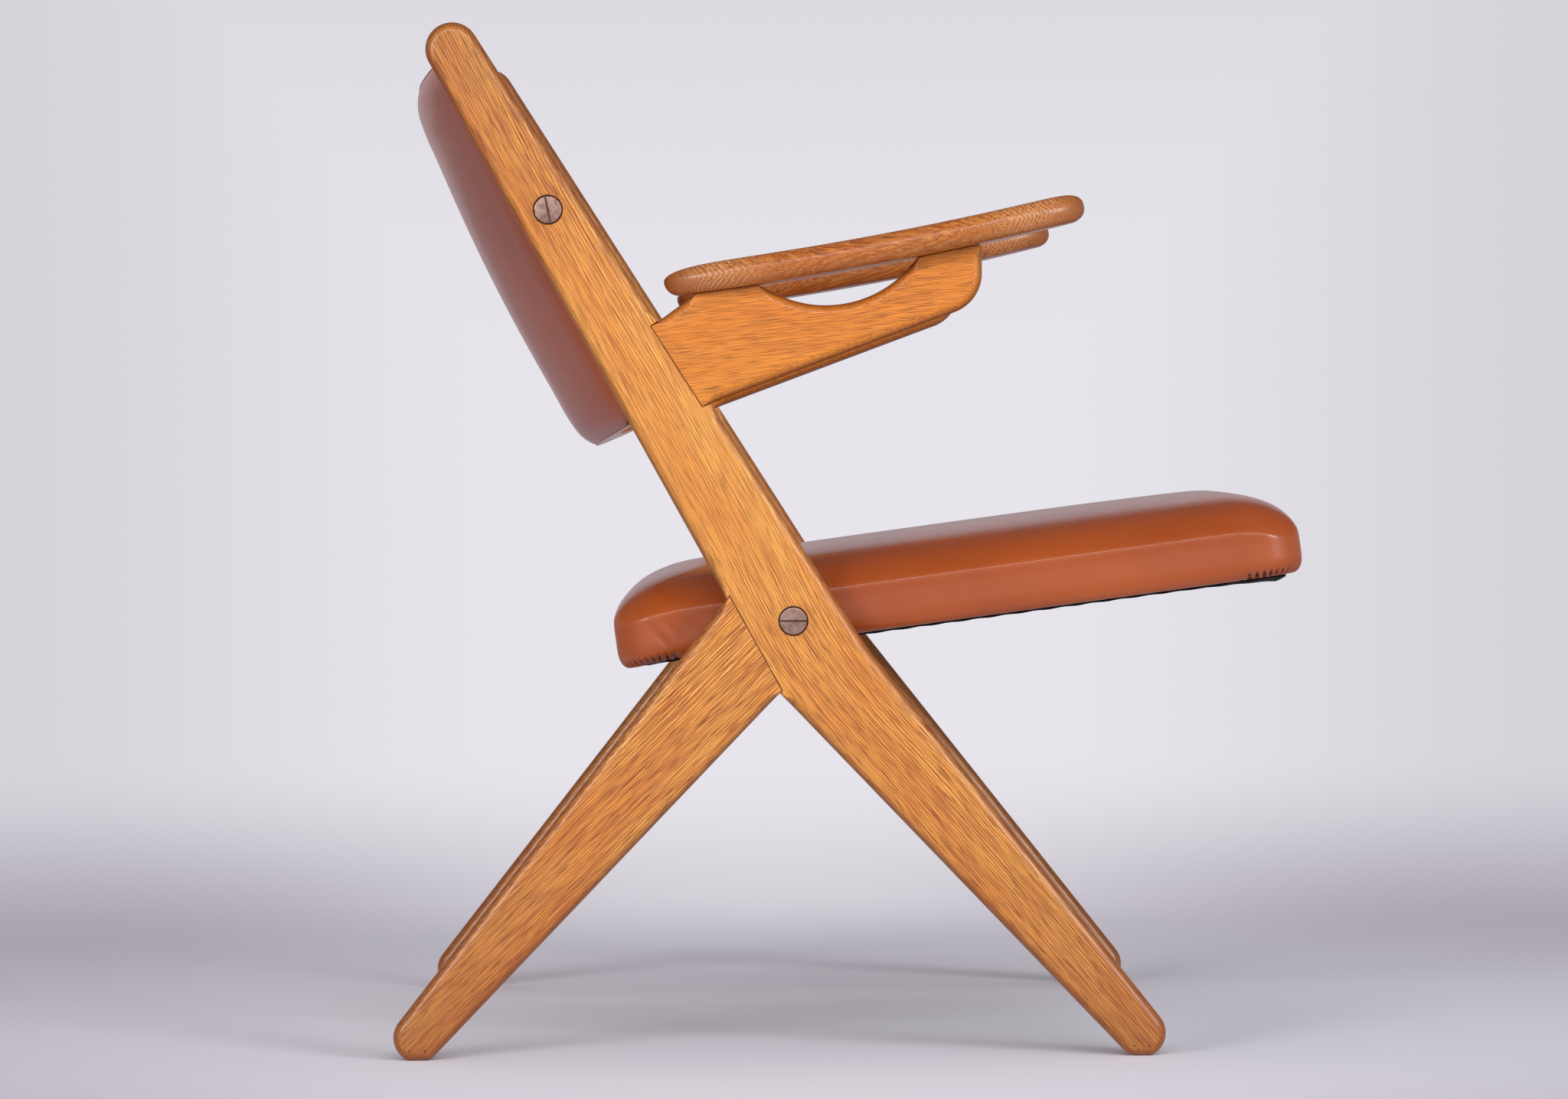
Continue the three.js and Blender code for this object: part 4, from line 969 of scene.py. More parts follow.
def oak_finish():
    """Light and honey wood, then each layer in turn over a share of what is under it: late rings, red
    streaks, fibres, a golden or a redder tone, dark edges and painted shade, the pale figure and pores."""
    finish, tree = new_finish("oiled oak")
    grain = written(tree, "grain", "Vector")
    edges_and_shade, redness, figure, coarse = [written(tree, n) for n in ("edges_and_shade", "redness", "figure", "coarse")]
    drift, slow, streak, fibre = [drawn_out(tree, grain, scales) for scales in OAK_SCALES.values()]
    ring_place = reckon(tree, "MULTIPLY_ADD", drift, RING_DRIFT, parts(tree, grain)["Y"])
    wavered = reckon(tree, "MULTIPLY_ADD", streak, RING_WAVER, ring_place)
    ring = reckon(tree, "FRACT", times(tree, wavered, RINGS))
    late = ease(tree, ring, 0.15, 0.95)
    pore = ease(tree, drawn_out(tree, grain, PORE_SCALE, 0.0), 0.54, 0.68)
    streaky = ease(tree, streak, 0.49, 0.65, 0.0, OAK_COVER["streak"])
    pale = ease(tree, ring, 0.40, 0.90, 0.0, OAK_COVER["pale"])
    broken = times(tree, ease(tree, streak, 0.25, 0.55), pale)
    layers = [
        (times(tree, late, times(tree, coarse, OAK_COVER["ring"])), OAK_LATE),
        (times(tree, coarse, streaky), OAK_RED),
        (ease(tree, fibre, 0.42, 0.72, 0.0, OAK_COVER["fibre"]), OAK_RED),
        (times(tree, redness, -1.0, clamp=True), OAK_GOLD),
        (times(tree, redness, OAK_COVER["red"], clamp=True), OAK_RED),
        # darker edges, and painted shade towards the feet and the top
        (times(tree, edges_and_shade, OAK_COVER["edge"]), OAK_EDGE_AND_SHADE),
        (times(tree, figure, broken), OAK_PALE),
        (times(tree, pore, times(tree, coarse, OAK_COVER["pore"])), OAK_PORE),
    ]
    tone = blend_colours(tree, ease(tree, slow, 0.35, 0.7), OAK_LIGHT, OAK_HONEY)
    for share, layer in layers:
        tone = blend_colours(tree, share, tone, layer)
    height = reckon(tree, "MULTIPLY_ADD", pore, -1.0, times(tree, fibre, 0.3))
    bump = shade(tree, "Bump", {"Height": height, "Distance": 0.00012, "Strength": 0.4})
    gloss = ease(tree, slow, 0.3, 0.7, 0.34, 0.46)
    inputs = {"Base Color": tone, "Roughness": gloss, "Normal": bump, "Specular IOR Level": 0.36,
              "Coat Weight": 0.30, "Coat Roughness": 0.22}
    return finished(finish, inputs)


oak = oak_finish()
for node, piece in boards.items():
    dress(piece, "frame", "oak", oak, node)
print("oak on", len(boards), "pieces")

# %% [markdown]
# ## Bolts and washers
#
# Two round slotted heads of dark, aged bronze are let in flush on each side. A cylinder with a boolean
# slot would have a poor edge, so the head is a grid of rows that run along the slot: the rows beside
# the slot are doubled, once at the top and once on the slot's floor. Below the head, the same rim is
# carried inwards as rings, which make the head's side, its underside and the shank.

# %% Bolt heads
HEAD_RADIUS = 0.0105
HEAD_DEPTH = 0.005
HEAD_DOME = 0.0005
HEAD_EDGE = 0.0009
SHANK_RADIUS = 0.004
SLOT_HALF = 0.0008
SLOT_DEPTH = 0.0016
HEAD_ROWS = 16
HEAD_COLUMNS = 33
SLOT_TURNS = {"seat": math.radians(0), "back": math.radians(78)}


def head_height(reach):
    """Height of the head's face at a distance from its axis: a slight dome with a rounded rim."""
    over = np.clip(reach - HEAD_RADIUS + HEAD_EDGE, 0, HEAD_EDGE)
    rim = HEAD_EDGE - np.sqrt(HEAD_EDGE ** 2 - over ** 2)
    return -HEAD_DOME * (reach / HEAD_RADIUS) ** 2 - rim


def bolt_surface(length):
    """Rings and rows of a bolt: two distances from its axis, and a height that is 0 at the crown."""
    out = SLOT_HALF + (HEAD_RADIUS - SLOT_HALF) * np.sin(np.linspace(0, np.pi / 2, HEAD_ROWS))
    across = np.concatenate([-out[::-1], [-SLOT_HALF, SLOT_HALF], out])[:, None]
    half_row = np.sqrt(np.clip(HEAD_RADIUS ** 2 - across ** 2, 0, None))
    along = half_row * np.sin(np.linspace(-np.pi / 2, np.pi / 2, HEAD_COLUMNS))
    across = np.broadcast_to(across, along.shape)
    height = head_height(np.hypot(along, across))
    height[HEAD_ROWS:HEAD_ROWS + 2] = -SLOT_DEPTH
    top = np.stack([along, across, height], axis=-1)
    rim = np.concatenate([top[:, -1], top[::-1, 0]])
    radius = np.array([HEAD_RADIUS, HEAD_RADIUS, SHANK_RADIUS, SHANK_RADIUS])[:, None, None]
    depth = np.array([SLOT_DEPTH + HEAD_EDGE, HEAD_DEPTH, HEAD_DEPTH, length])
    plan = rim[:, :2] * radius / HEAD_RADIUS
    below = np.broadcast_to(-depth[:, None, None], (*plan.shape[:2], 1))
    return top, np.concatenate([rim[None], np.concatenate([plan, below], axis=-1)])


def bolt(name, node, side, slot_turn):
    """Bolt in its node's place, with its slot turned from level."""
    low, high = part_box(node)
    top, rings = bolt_surface(high.y - low.y)
    top_numbers = numbered(top.shape)
    ring_numbers = numbered(rings.shape, top_numbers.size)
    faces = between_rows(top_numbers) + between_rings(ring_numbers)
    faces.append(ring_numbers[-1].tolist())
    along, across, height = np.concatenate([top.reshape(-1, 3), rings.reshape(-1, 3)]).T
    middle = middle_of(node)
    x = middle[0] + along * math.cos(slot_turn) + across * math.sin(slot_turn)
    z = middle[2] + side * (along * math.sin(slot_turn) - across * math.cos(slot_turn))
    crown = max(abs(low.y), abs(high.y))
    y = side * (crown + height)
    piece = new_piece(name, np.stack([x, y, z], axis=-1), faces)
    sunk = crown - np.abs(points_of(piece)[:, 1])
    write(piece, "grime", np.clip(sunk / SLOT_DEPTH, 0, 1) ** 2)
    return piece


bolts = {}
for name, side in SIDES.items():
    for place, slot_turn in SLOT_TURNS.items():
        node = f"{name}_{place}_bolt"
        bolts[node] = bolt(node + "_slotted", node, side, slot_turn)
print("bolts", sorted(bolts))

# %% Washers
WASHER_EDGE = 0.0004


def washer(name, node):
    """Flat ring: a small bevelled section carried once round the bolt's axis."""
    low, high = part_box(node)
    middle = middle_of(node)
    outer, inner = (high.x - low.x) / 2, BOLT_CLEAR
    half = (high.y - low.y) / 2
    radius = np.array([outer, outer - WASHER_EDGE, inner + WASHER_EDGE, inner,
                       inner, inner + WASHER_EDGE, outer - WASHER_EDGE, outer])
    level = np.array([half - WASHER_EDGE, half, half, half - WASHER_EDGE,
                      WASHER_EDGE - half, -half, -half, WASHER_EDGE - half])
    angle = once_round(BORE_SIDES)[:, None]
    x = middle[0] + radius * np.cos(angle)
    z = middle[2] + radius * np.sin(angle)
    points = np.stack([x, np.broadcast_to(middle[1] + level, x.shape), z], axis=-1)
    numbers = numbered(points.shape)
    return new_piece(name, points, between_rings(np.concatenate([numbers, numbers[:1]])))


for name in SIDES:
    for place in SLOT_TURNS:
        node = f"{name}_{place}_washer"
        bolts[node] = washer(node + "_ring", node)
print("washers and bolts", len(bolts))

# %% [markdown]
# ## Bronze
#
# The bolt heads are brown with age: dull metal, brushed by years of screwdrivers and hands, darker in
# the low spots. Metal takes its colour from its reflections, so the finish is almost wholly metallic,
# with a cloudy mix of two browns and a roughness that follows the clouds.

# %% Bronze finish
BRONZE_WORN = colour(184, 152, 138)
BRONZE_DARK = colour(140, 108, 96)
BRONZE_GRIME = colour(58, 40, 33)
GRIME_COVER = 0.62
CLOUD_SCALE = 240
SCRATCH_SCALES = (2600, 400, 500)


def bronze_finish():
    """Metal of two browns in clouds, glossier where it is worn, with grime in the slot and scratches."""
    finish, tree = new_finish("aged bronze")
    place = shade(tree, "TexCoord", output="Object")
    cloud = noise(tree, place, CLOUD_SCALE, 4.0, 0.6)
    clean = blend_colours(tree, ease(tree, cloud, 0.3, 0.7), BRONZE_DARK, BRONZE_WORN)
    tone = blend_colours(tree, times(tree, written(tree, "grime"), GRIME_COVER), clean, BRONZE_GRIME)
    scratch = drawn_out(tree, place, SCRATCH_SCALES)
    bump = shade(tree, "Bump", {"Height": scratch, "Distance": 0.00004, "Strength": 0.5})
    gloss = ease(tree, cloud, 0.3, 0.7, 0.58, 0.40)
    return finished(finish, {"Base Color": tone, "Roughness": gloss, "Normal": bump, "Metallic": 0.85})


bronze = bronze_finish()
for node, piece in bolts.items():
    dress(piece, "frame", "bronze", bronze, node)
print("bronze on", len(bolts), "pieces")

# %% [markdown]
# ## Leather
#
# The upholstery is smooth, waxed cognac leather: a deep orange brown with a soft gloss, very fine
# pebbled grain, and a slow unevenness of the dye. The grain is made of small cells whose edges are
# sunk, as bump, because it is far too fine to model. Colour drifts slowly, and a thin wax coat gives
# the pale reflections that leather has at a flat angle.

# %% Leather finish
LEATHER_DEEP = colour(157, 68, 14)
LEATHER_WARM = colour(171, 78, 20)
# painted shade deep in the seat's gathers
FOLD_SHADE = colour(30, 14, 8)
PEBBLE_SCALE = 620  # cells in a metre
PEBBLE_EDGE = 0.16  # width of a cell's sunk edge
PEBBLE_DYE = 0.16  # dye that gathers in it
DYE_SCALE = 7
RUB_SCALE = 60
PORE_SPECKS = 1900


def leather_finish():
    """Two browns in slow clouds, rubbed lighter, with deeper dye between pebbles and painted shade in the
    folds.
    """
    finish, tree = new_finish("cognac leather")
    place = shade(tree, "TexCoord", output="Object")
    slow = noise(tree, place, DYE_SCALE, 3.0)
    fine = noise(tree, place, RUB_SCALE, 3.0)
    cells = shade(tree, "TexVoronoi", {"Vector": place, "Scale": PEBBLE_SCALE, "Randomness": 1.0},
                  feature="DISTANCE_TO_EDGE")
    pebble = ease(tree, cells, 0.0, PEBBLE_EDGE)
    pores = noise(tree, place, PORE_SPECKS, 1.0)
    tone = blend_colours(tree, ease(tree, slow, 0.3, 0.7), LEATHER_DEEP, LEATHER_WARM)
    rubbed = blend_colours(tree, ease(tree, fine, 0.45, 0.8, 0.0, 0.25), tone, LEATHER_WARM)
    sunk = times(tree, reckon(tree, "SUBTRACT", 1.0, pebble), PEBBLE_DYE)
    dyed = blend_colours(tree, sunk, rubbed, LEATHER_DEEP)
    # painted shade deep in the gathers
    fold_shaded = blend_colours(tree, written(tree, "fold"), dyed, FOLD_SHADE)
    height = reckon(tree, "MULTIPLY_ADD", pores, 0.25, pebble)
    bump = shade(tree, "Bump", {"Height": height, "Distance": 0.00012, "Strength": 0.35})
    gloss = ease(tree, fine, 0.3, 0.7, 0.40, 0.46)
    return finished(finish, {"Base Color": fold_shaded, "Roughness": gloss, "Normal": bump,
                             "Coat Weight": 0.42, "Coat Roughness": 0.14})


leather = leather_finish()
print("leather ready")

# %% [markdown]
# ## The seat cushion
#
# The seat is a shallow wooden box with foam on top, covered with one hide: flat upright sides, a soft
# ridge where the leather leaves the box, and a roll that rises to an almost level top. At the front
# and the rear the ridge dips, and the roll is a full quarter round. Seen from above the seat is a
# rectangle with round corners. The form is a grid of shares u and v over that rectangle: the height is
# the ridge's, plus a rise that flattens steadily in from each side and a quarter round from each end.

# %% Pad grids
RIM_BAND = 0.045  # finer cells near the rim
RIM_CELLS = 24
RIM_CROWDING = 1.6  # the cells crowd towards the rim as this power
MIDDLE_CELL = 0.0095
PAD_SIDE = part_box("seat_cover")[1].y


def shares(half):
    """Shares from -1 to 1 across a pad of that half width: fine cells near the rim, coarse within."""
    middle_count = int(2 * (half - RIM_BAND) / MIDDLE_CELL)
    rim = half - RIM_BAND * (np.arange(RIM_CELLS) / RIM_CELLS) ** RIM_CROWDING
    middle = np.linspace(RIM_BAND - half, half - RIM_BAND, middle_count)
    return np.concatenate([-rim, middle, rim[::-1]]) / half


def round_corners(a, b, half_a, half_b, radius):
    """Points of a rectangle moved so that its corners become round: inside a corner's square, i and j
    are shares from the corner circle's centre, and each shrinks by a root of the other's square."""
    i = (np.abs(a) - half_a + radius) / radius
    j = (np.abs(b) - half_b + radius) / radius
    corner = (i > 0) & (j > 0)
    i, j = np.where(corner, i, 0), np.where(corner, j, 0)
    round_a = half_a - radius + radius * i * np.sqrt(1 - j * j / 2)
    round_b = half_b - radius + radius * j * np.sqrt(1 - i * i / 2)
    return np.where(corner, np.sign(a) * round_a, a), np.where(corner, np.sign(b) * round_b, b)


def quarter(distance, width, fullness=2.0):
    """Quarter of a rounded square: (1 - (1 - way in)^n)^(1 / n), where n of 2 is an ellipse."""
    short = 1 - np.clip(distance / width, 0, 1)
    return (1 - short ** fullness) ** (1 / fullness)


def rim_of(grid):
    """Border of a grid, in order round it."""
    return np.concatenate([grid[:-1, 0], grid[-1, :-1], grid[:0:-1, -1], grid[0, :0:-1]])


print("shares across a pad:", len(shares(PAD_SIDE)))

# %% Seat form
SEAT_TILT = math.radians(7.4)
SEAT_REACH = {"rear": 0.1360, "front": 0.390}  # from the seat bolt
SEAT_UNDERSIDE = -0.0172
SEAT_RIDGE = 0.0185
SEAT_RISE = 0.0255
SEAT_CROWN = 0.002
SIDE_ROLL = 0.024  # the way in over which the side's slope falls to a third
RIDGE_ROUND = {"rise": 0.002, "width": 0.004}
END_ROLLS = {"front": 0.052, "rear": 0.062}
END_FULLNESS = {"front": 3.1, "rear": 2.5}
RIDGE_DIPS = {"front": 0.010, "rear": 0.006}
DIP_POWER = 1.5
SEAT_CORNER = 0.032
SEAT_TUCK = 0.008
SEAT_TUCK_HEIGHT = 0.013
SEAT_FLAP = 0.030
WALL_ROWS = 12

seat_half = (SEAT_REACH["front"] + SEAT_REACH["rear"]) / 2
seat_middle = (SEAT_REACH["front"] - SEAT_REACH["rear"]) / 2
seat_u, seat_v = np.meshgrid(shares(seat_half), shares(PAD_SIDE), indexing="ij")


def seat_level(drawn_in, height):
    """Points over the seat's plan, drawn in all round, at a height."""
    half_x, half_y = seat_half - drawn_in, PAD_SIDE - drawn_in
    x, y = round_corners(half_x * seat_u, half_y * seat_v, half_x, half_y, SEAT_CORNER)
    return np.stack([seat_middle + x, y, np.broadcast_to(height, x.shape)], axis=-1)


def ridge_height(x):
    """Height of the ridge, which dips towards both ends as a power of the way into each end's roll."""
    height = np.full_like(x, SEAT_RIDGE)
    for end, sign in (("front", 1), ("rear", -1)):
        into = np.clip(1 - (seat_half - sign * (x - seat_middle)) / END_ROLLS[end], 0, 1)
        height -= RIDGE_DIPS[end] * into ** DIP_POWER
    return height


def seat_top_height():
    """The ridge's height plus the side's rise, 1 - exp(-way in / roll), a small quarter round at the
    ridge and a crown 1 - v^2, all times the ends' quarter rounds."""
    from_side = PAD_SIDE * (1 - np.abs(seat_v))
    ridge = RIDGE_ROUND["rise"] * quarter(from_side, RIDGE_ROUND["width"])
    side = ridge + SEAT_RISE * (1 - np.exp(-from_side / SIDE_ROLL))
    front = quarter(seat_half * (1 - seat_u), END_ROLLS["front"], END_FULLNESS["front"])
    rear = quarter(seat_half * (1 + seat_u), END_ROLLS["rear"], END_FULLNESS["rear"])
    crown = SEAT_CROWN * (1 - seat_v ** 2)
    return ridge_height(seat_middle + seat_half * seat_u) + (side + crown) * front * rear


def seat_wall():
    """Rings down the side: upright, then a quarter-ellipse tuck, then the flap turned under."""
    ridge = ridge_height(seat_middle + seat_half * seat_u)
    share = np.linspace(0, 1, WALL_ROWS // 2)[1:, None, None]
    straight = ridge * (1 - share) + (SEAT_UNDERSIDE + SEAT_TUCK_HEIGHT) * share
    bend = np.linspace(0, np.pi / 2, WALL_ROWS // 2 + 1)[1:]
    tuck = SEAT_UNDERSIDE + SEAT_TUCK_HEIGHT * (1 - np.sin(bend))
    rows = [seat_level(0, height) for height in straight]
    rows += [seat_level(SEAT_TUCK * (1 - math.cos(b)), height) for b, height in zip(bend, tuck)]
    return np.stack([rim_of(row) for row in rows])


def pad_surface(name, face, wall, closing):
    """Closed pad: the grid of its crowned face, the rings of its wall, and the grid that closes it."""
    face_numbers = numbered(face.shape)
    closing_numbers = numbered(face.shape, face_numbers.size)
    wall_numbers = numbered(wall.shape, 2 * face_numbers.size)
    rings = np.concatenate([rim_of(face_numbers)[None], wall_numbers, rim_of(closing_numbers)[None]])
    faces = between_rows(face_numbers) + between_rows(closing_numbers) + between_rings(rings)
    points = np.concatenate([grid.reshape(-1, 3) for grid in (face, closing, wall)])
    return new_piece(name, points, faces)


seat_pad = pad_surface("seat_pad", seat_level(0, seat_top_height()), seat_wall(),
                       seat_level(SEAT_FLAP, SEAT_UNDERSIDE))
print("seat pad", len(seat_pad.data.vertices), "points")

# %% [markdown]
# ## Filling the pads
#
# A pad that is only drawn looks cast. The real hide is pulled over foam and pushed out by it, tight
# where it is tacked and full where it is free. Blender's Cloth does that: the wall and the tacked edge
# are pinned, a little pressure swells the rest, and a soft limit keeps the swelling small, because
# this chair is firmly filled. The result is written back as points, and one subdivision smooths it.

# %% Swelling by simulation
FILL_FRAMES = 20
FILL_PRESSURE = 4
FILL_STIFFNESS = 25
FILL_BENDING = 4
EVEN_ROUNDS = 90  # firm foam evens out short waves


def pin_weights(piece, free):
    """Vertex group that holds a pad's points still where `free` is 0 and lets them go where it is 1."""
    group = piece.vertex_groups.new(name="tacked")
    held = np.round(1 - free, 2)
    for weight in np.unique(held):
        group.add(np.flatnonzero(held == weight).tolist(), float(weight), "REPLACE")


def evened(piece, move):
    """Movement averaged with its neighbours' along the mesh's edges, over many rounds."""
    ends = np.empty(2 * len(piece.data.edges), int)
    piece.data.edges.foreach_get("vertices", ends)
    first, second = ends.reshape(-1, 2).T
    count = len(move)
    neighbours = np.bincount(ends, minlength=count)[:, None]
    for _ in range(EVEN_ROUNDS):
        total = [np.bincount(first, column[second], count) + np.bincount(second, column[first], count)
                 for column in move.T]
        move = (move + np.stack(total, axis=1) / neighbours) / 2
    return move


def swell(piece, free, limit):
    """Cloth pressure on a pad; its movement is kept to limit * tanh(movement / limit) and evened."""
    start = points_of(piece)
    pin_weights(piece, free)
    cloth = piece.modifiers.new("fill", "CLOTH")
    settings = cloth.settings
    settings.vertex_group_mass = "tacked"
    settings.use_pressure = True
    settings.uniform_pressure_force = FILL_PRESSURE
    settings.effector_weights.gravity = 0
    settings.tension_stiffness = settings.compression_stiffness = FILL_STIFFNESS
    settings.bending_stiffness = FILL_BENDING
    cloth.point_cache.frame_end = FILL_FRAMES
    for number in range(1, FILL_FRAMES + 1):
        scene.frame_set(number)
    shown = piece.evaluated_get(bpy.context.evaluated_depsgraph_get()).data
    filled = np.empty(3 * len(shown.vertices))
    shown.vertices.foreach_get("co", filled)
    piece.modifiers.remove(cloth)
    scene.frame_set(1)
    move = filled.reshape(-1, 3) - start
    far = np.linalg.norm(move, axis=1, keepdims=True)
    move *= limit * np.tanh(far / limit) / np.maximum(far, MERGE)
    move = evened(piece, move) * free[:, None]
    set_points(piece, start + move)
    return np.linalg.norm(move, axis=1).max()


def smoothed(piece):
    """The piece's mesh divided once more by a Subdivision Surface, which is then applied."""
    finer = piece.modifiers.new("smooth", "SUBSURF")
    finer.levels = finer.render_levels = 1
    shown = piece.evaluated_get(bpy.context.evaluated_depsgraph_get())
    fine = bpy.data.meshes.new_from_object(shown)
    piece.modifiers.remove(finer)
    piece.data = fine
    fine.polygons.foreach_set("use_smooth", np.ones(len(fine.polygons), bool))


print("a pad is filled in", FILL_FRAMES, "frames")

# %% Seat filled
SEAT_SWELL = 0.003
FREE_REACH = 0.070  # from the rim to where the hide is quite free


def freedom(a, b, half_a, half_b):
    """How free the hide is: a smooth step of the distance from the nearest side of the rim."""
    near = np.minimum(half_a - np.abs(a), half_b - np.abs(b))
    return smooth_share(near / FREE_REACH)


x, y, z = points_of(seat_pad).T
seat_free = freedom(x - seat_middle, y, seat_half, PAD_SIDE) * (z > 0)
print(f"seat swelled by {1000 * swell(seat_pad, seat_free, SEAT_SWELL):.1f} mm")
smoothed(seat_pad)
print("seat pad", len(seat_pad.data.polygons), "faces")

# %% [markdown]
# ## Seams, ridges and gathers of the seat
#
# Three small things make the seat look upholstered: the bead-like ridge along the top of the box, the
# gathers where the hide is turned under at the round corners, and a few short creases on the sides.
# They are narrower than the fill's cells, so they come after it, as small moves of the points along
# smooth bumps: 1 at the middle of a line and falling off as a bell curve.

# %% Seat details
RIDGE_STANDS = 0.0006
RIDGE_WIDTH = 0.0045
RIDGE_START = 0.3  # where it begins, in corner radii from the end
GATHER_SPACING = 0.0058
GATHER_REACH = 0.046  # to both sides of a corner's middle
GATHER_DEPTH = 0.0036
GATHER_LIFT = 0.004  # how far the turned edge rises in a fold
GATHER_SPAN = 0.008  # how far they reach up from the seat's lower edge
GATHER_POWER = 4  # a higher power gives narrower folds
GATHER_FADE = 4  # how soon they end
SEAT_EDGE_BAND = 0.016
REAR_SAG = 0.004
REAR_SAG_REACH = 0.030
CREASES = ((-0.077, 0.004, -0.8), (-0.087, 0.000, -0.65), (-0.099, -0.003, -0.6))  # place and lean
CREASE_DEPTH = 0.0018
CREASE_LENGTH = 0.009
CREASE_WIDTH = 0.0032


def from_corner_centre(points):
    """Distances from the nearest corner circle's centre, positive outside it in x and y."""
    x = np.abs(points[:, 0] - seat_middle) - (seat_half - SEAT_CORNER)
    y = np.abs(points[:, 1]) - (PAD_SIDE - SEAT_CORNER)
    return x, y


def seat_outward(points):
    """Level direction out of the seat's side: square to a side, and radial round a corner."""
    x, y = from_corner_centre(points)
    out = np.stack([np.clip(x, 0, None), np.clip(y, 0, None)], axis=1)
    out /= np.maximum(np.hypot(*out.T), MERGE)[:, None]
    return out * np.sign(np.stack([points[:, 0] - seat_middle, points[:, 1]], axis=1))


def ridge_and_creases(points, at_corner):
    """Outward move of the sides: the ridge's bell along its height, less the bells of short creases."""
    x, z = points[:, 0], points[:, 2]
    along_side = smooth_share((seat_half - np.abs(x - seat_middle)) / SEAT_CORNER - RIDGE_START)
    move = RIDGE_STANDS * bell(z - ridge_height(x), RIDGE_WIDTH) * (1 - at_corner) * along_side
    for crease_x, crease_z, lean in CREASES:
        aside = x - crease_x - lean * (z - crease_z)
        move -= CREASE_DEPTH * bell(aside, CREASE_WIDTH) * bell(z - crease_z, CREASE_LENGTH)
    return move


def low_share(points):
    """1 at the seat's lower edge, falling to 0 where the gathers end above it."""
    return smooth_share((SEAT_UNDERSIDE + GATHER_SPAN - points[:, 2]) / GATHER_SPAN)


def gathers(points, x, y):
    """Depth from 0 to 1 of the folds round a corner: a power of the cosine of the way along the rim,
    deepest low down."""
    angle = np.arctan2(np.clip(x, 0, None), np.clip(y, MERGE, None))
    along = np.clip(x, None, 0) + SEAT_CORNER * angle - np.clip(y, None, 0)
    from_middle = np.abs(along - SEAT_CORNER * np.pi / 4)
    fold = np.cos(np.pi * along / GATHER_SPACING) ** GATHER_POWER
    return fold * low_share(points) * smooth_share(GATHER_FADE * (1 - from_middle / GATHER_REACH))


def detail_seat(piece):
    """Ridge and creases on the sides, gathers at the corners, and a tuck that hangs at the rear."""
    points = points_of(piece)
    out = seat_outward(points)
    x, y = from_corner_centre(points)
    at_corner = np.clip(np.minimum(x, y) / SEAT_CORNER, 0, 1)
    on_side = np.maximum(x, y) > SEAT_CORNER - SEAT_EDGE_BAND
    folds = gathers(points, x, y) * on_side
    move = ridge_and_creases(points, at_corner) * on_side - GATHER_DEPTH * folds
    points[:, :2] += out * move[:, None]
    low_edge = low_share(points)
    points[:, 2] += GATHER_LIFT * folds * low_edge
    # painted shade deep in the folds, low down
    write(piece, "fold", folds ** 2 * low_edge)
    from_rear = points[:, 0] - seat_middle + seat_half
    low_down = smooth_share((SEAT_RIDGE - points[:, 2]) / (SEAT_RIDGE - SEAT_UNDERSIDE))
    points[:, 2] -= REAR_SAG * low_down * bell(from_rear, REAR_SAG_REACH)
    set_points(piece, points)


detail_seat(seat_pad)
print("gathers", 1000 * GATHER_SPACING, "mm apart at each corner of the seat")

# %% Seat in place
def tilt_into_place(piece, pivot, angle):
    """Turns a piece about a line across the chair and moves its drawing's origin to the pivot."""
    x, y, z = points_of(piece).T
    turned = np.stack([
        pivot[0] + x * math.cos(angle) - z * math.sin(angle),
        y,
        pivot[2] + x * math.sin(angle) + z * math.cos(angle),
    ], axis=1)
    set_points(piece, turned)


seat_pivot = middle_of("right_seat_bolt")
tilt_into_place(seat_pad, seat_pivot, SEAT_TILT)
dress(seat_pad, "frame", "leather", leather, "seat_cover", "seat_foam")
seat_points = points_of(seat_pad)
print("seat from", seat_points.min(axis=0).round(3), "to", seat_points.max(axis=0).round(3))

# %% [markdown]
# ## The black cloth under the seat
#
# A thin black cloth closes the underside and hides the webbing. It is cut to the seat's plan, turned in
# at the edge and tacked all round, so it hangs a few millimetres in the middle. It is one sheet: a
# rounded rectangle of shares, sagging as (1 - u^2)(1 - v^2), with slack near both ends and small
# puckers between the tacks.

# %% Dust cloth
CLOTH_INSET = 0.014
CLOTH_THICKNESS = 0.001
CLOTH_SAG = 0.004
CLOTH_DROP = 0.0003
PUCKER = 0.0006
PUCKER_SPACING = 0.022
PUCKER_POWER = 12  # keeps the puckers near the rim
CLOTH_CELLS = 121
CLOTH_BELLIES = {1: 0.0034, -1: 0.0018}  # slack at the front and at the rear
BELLY_RIM = 0.008
BELLY_REACH = 0.034
CLOTH_BLACK = colour(22, 21, 23)
CLOTH_LINT = colour(44, 42, 45)
CLOTH_THREADS = 4200  # radians to a metre

share = np.linspace(-1, 1, CLOTH_CELLS)
cloth_u, cloth_v = np.meshgrid(share, share, indexing="ij")
cloth_half = (seat_half - CLOTH_INSET, PAD_SIDE - CLOTH_INSET)


def thin_sheet(name, upper, thickness):
    """Closed sheet between a grid of points and the same grid a thickness lower."""
    numbers = numbered(upper.shape)
    lower = numbers + numbers.size
    faces = between_rows(numbers) + between_rows(lower)
    faces += between_rings(np.stack([rim_of(numbers), rim_of(lower)]))
    return new_piece(name, np.stack([upper, upper - [0, 0, thickness]]), faces)


def cloth_bellies():
    """Slack near both ends: steep from the rim, then dying away along the seat as exp(-way in)."""
    from_side = cloth_half[1] * (1 - np.abs(cloth_v))
    belly = np.zeros_like(cloth_u)
    for end, depth in CLOTH_BELLIES.items():
        from_end = cloth_half[0] * (1 - end * cloth_u)
        inside = smooth_share(from_end / BELLY_RIM) * smooth_share(from_side / BELLY_RIM)
        belly += depth * inside * np.exp(-from_end / BELLY_REACH)
    return belly


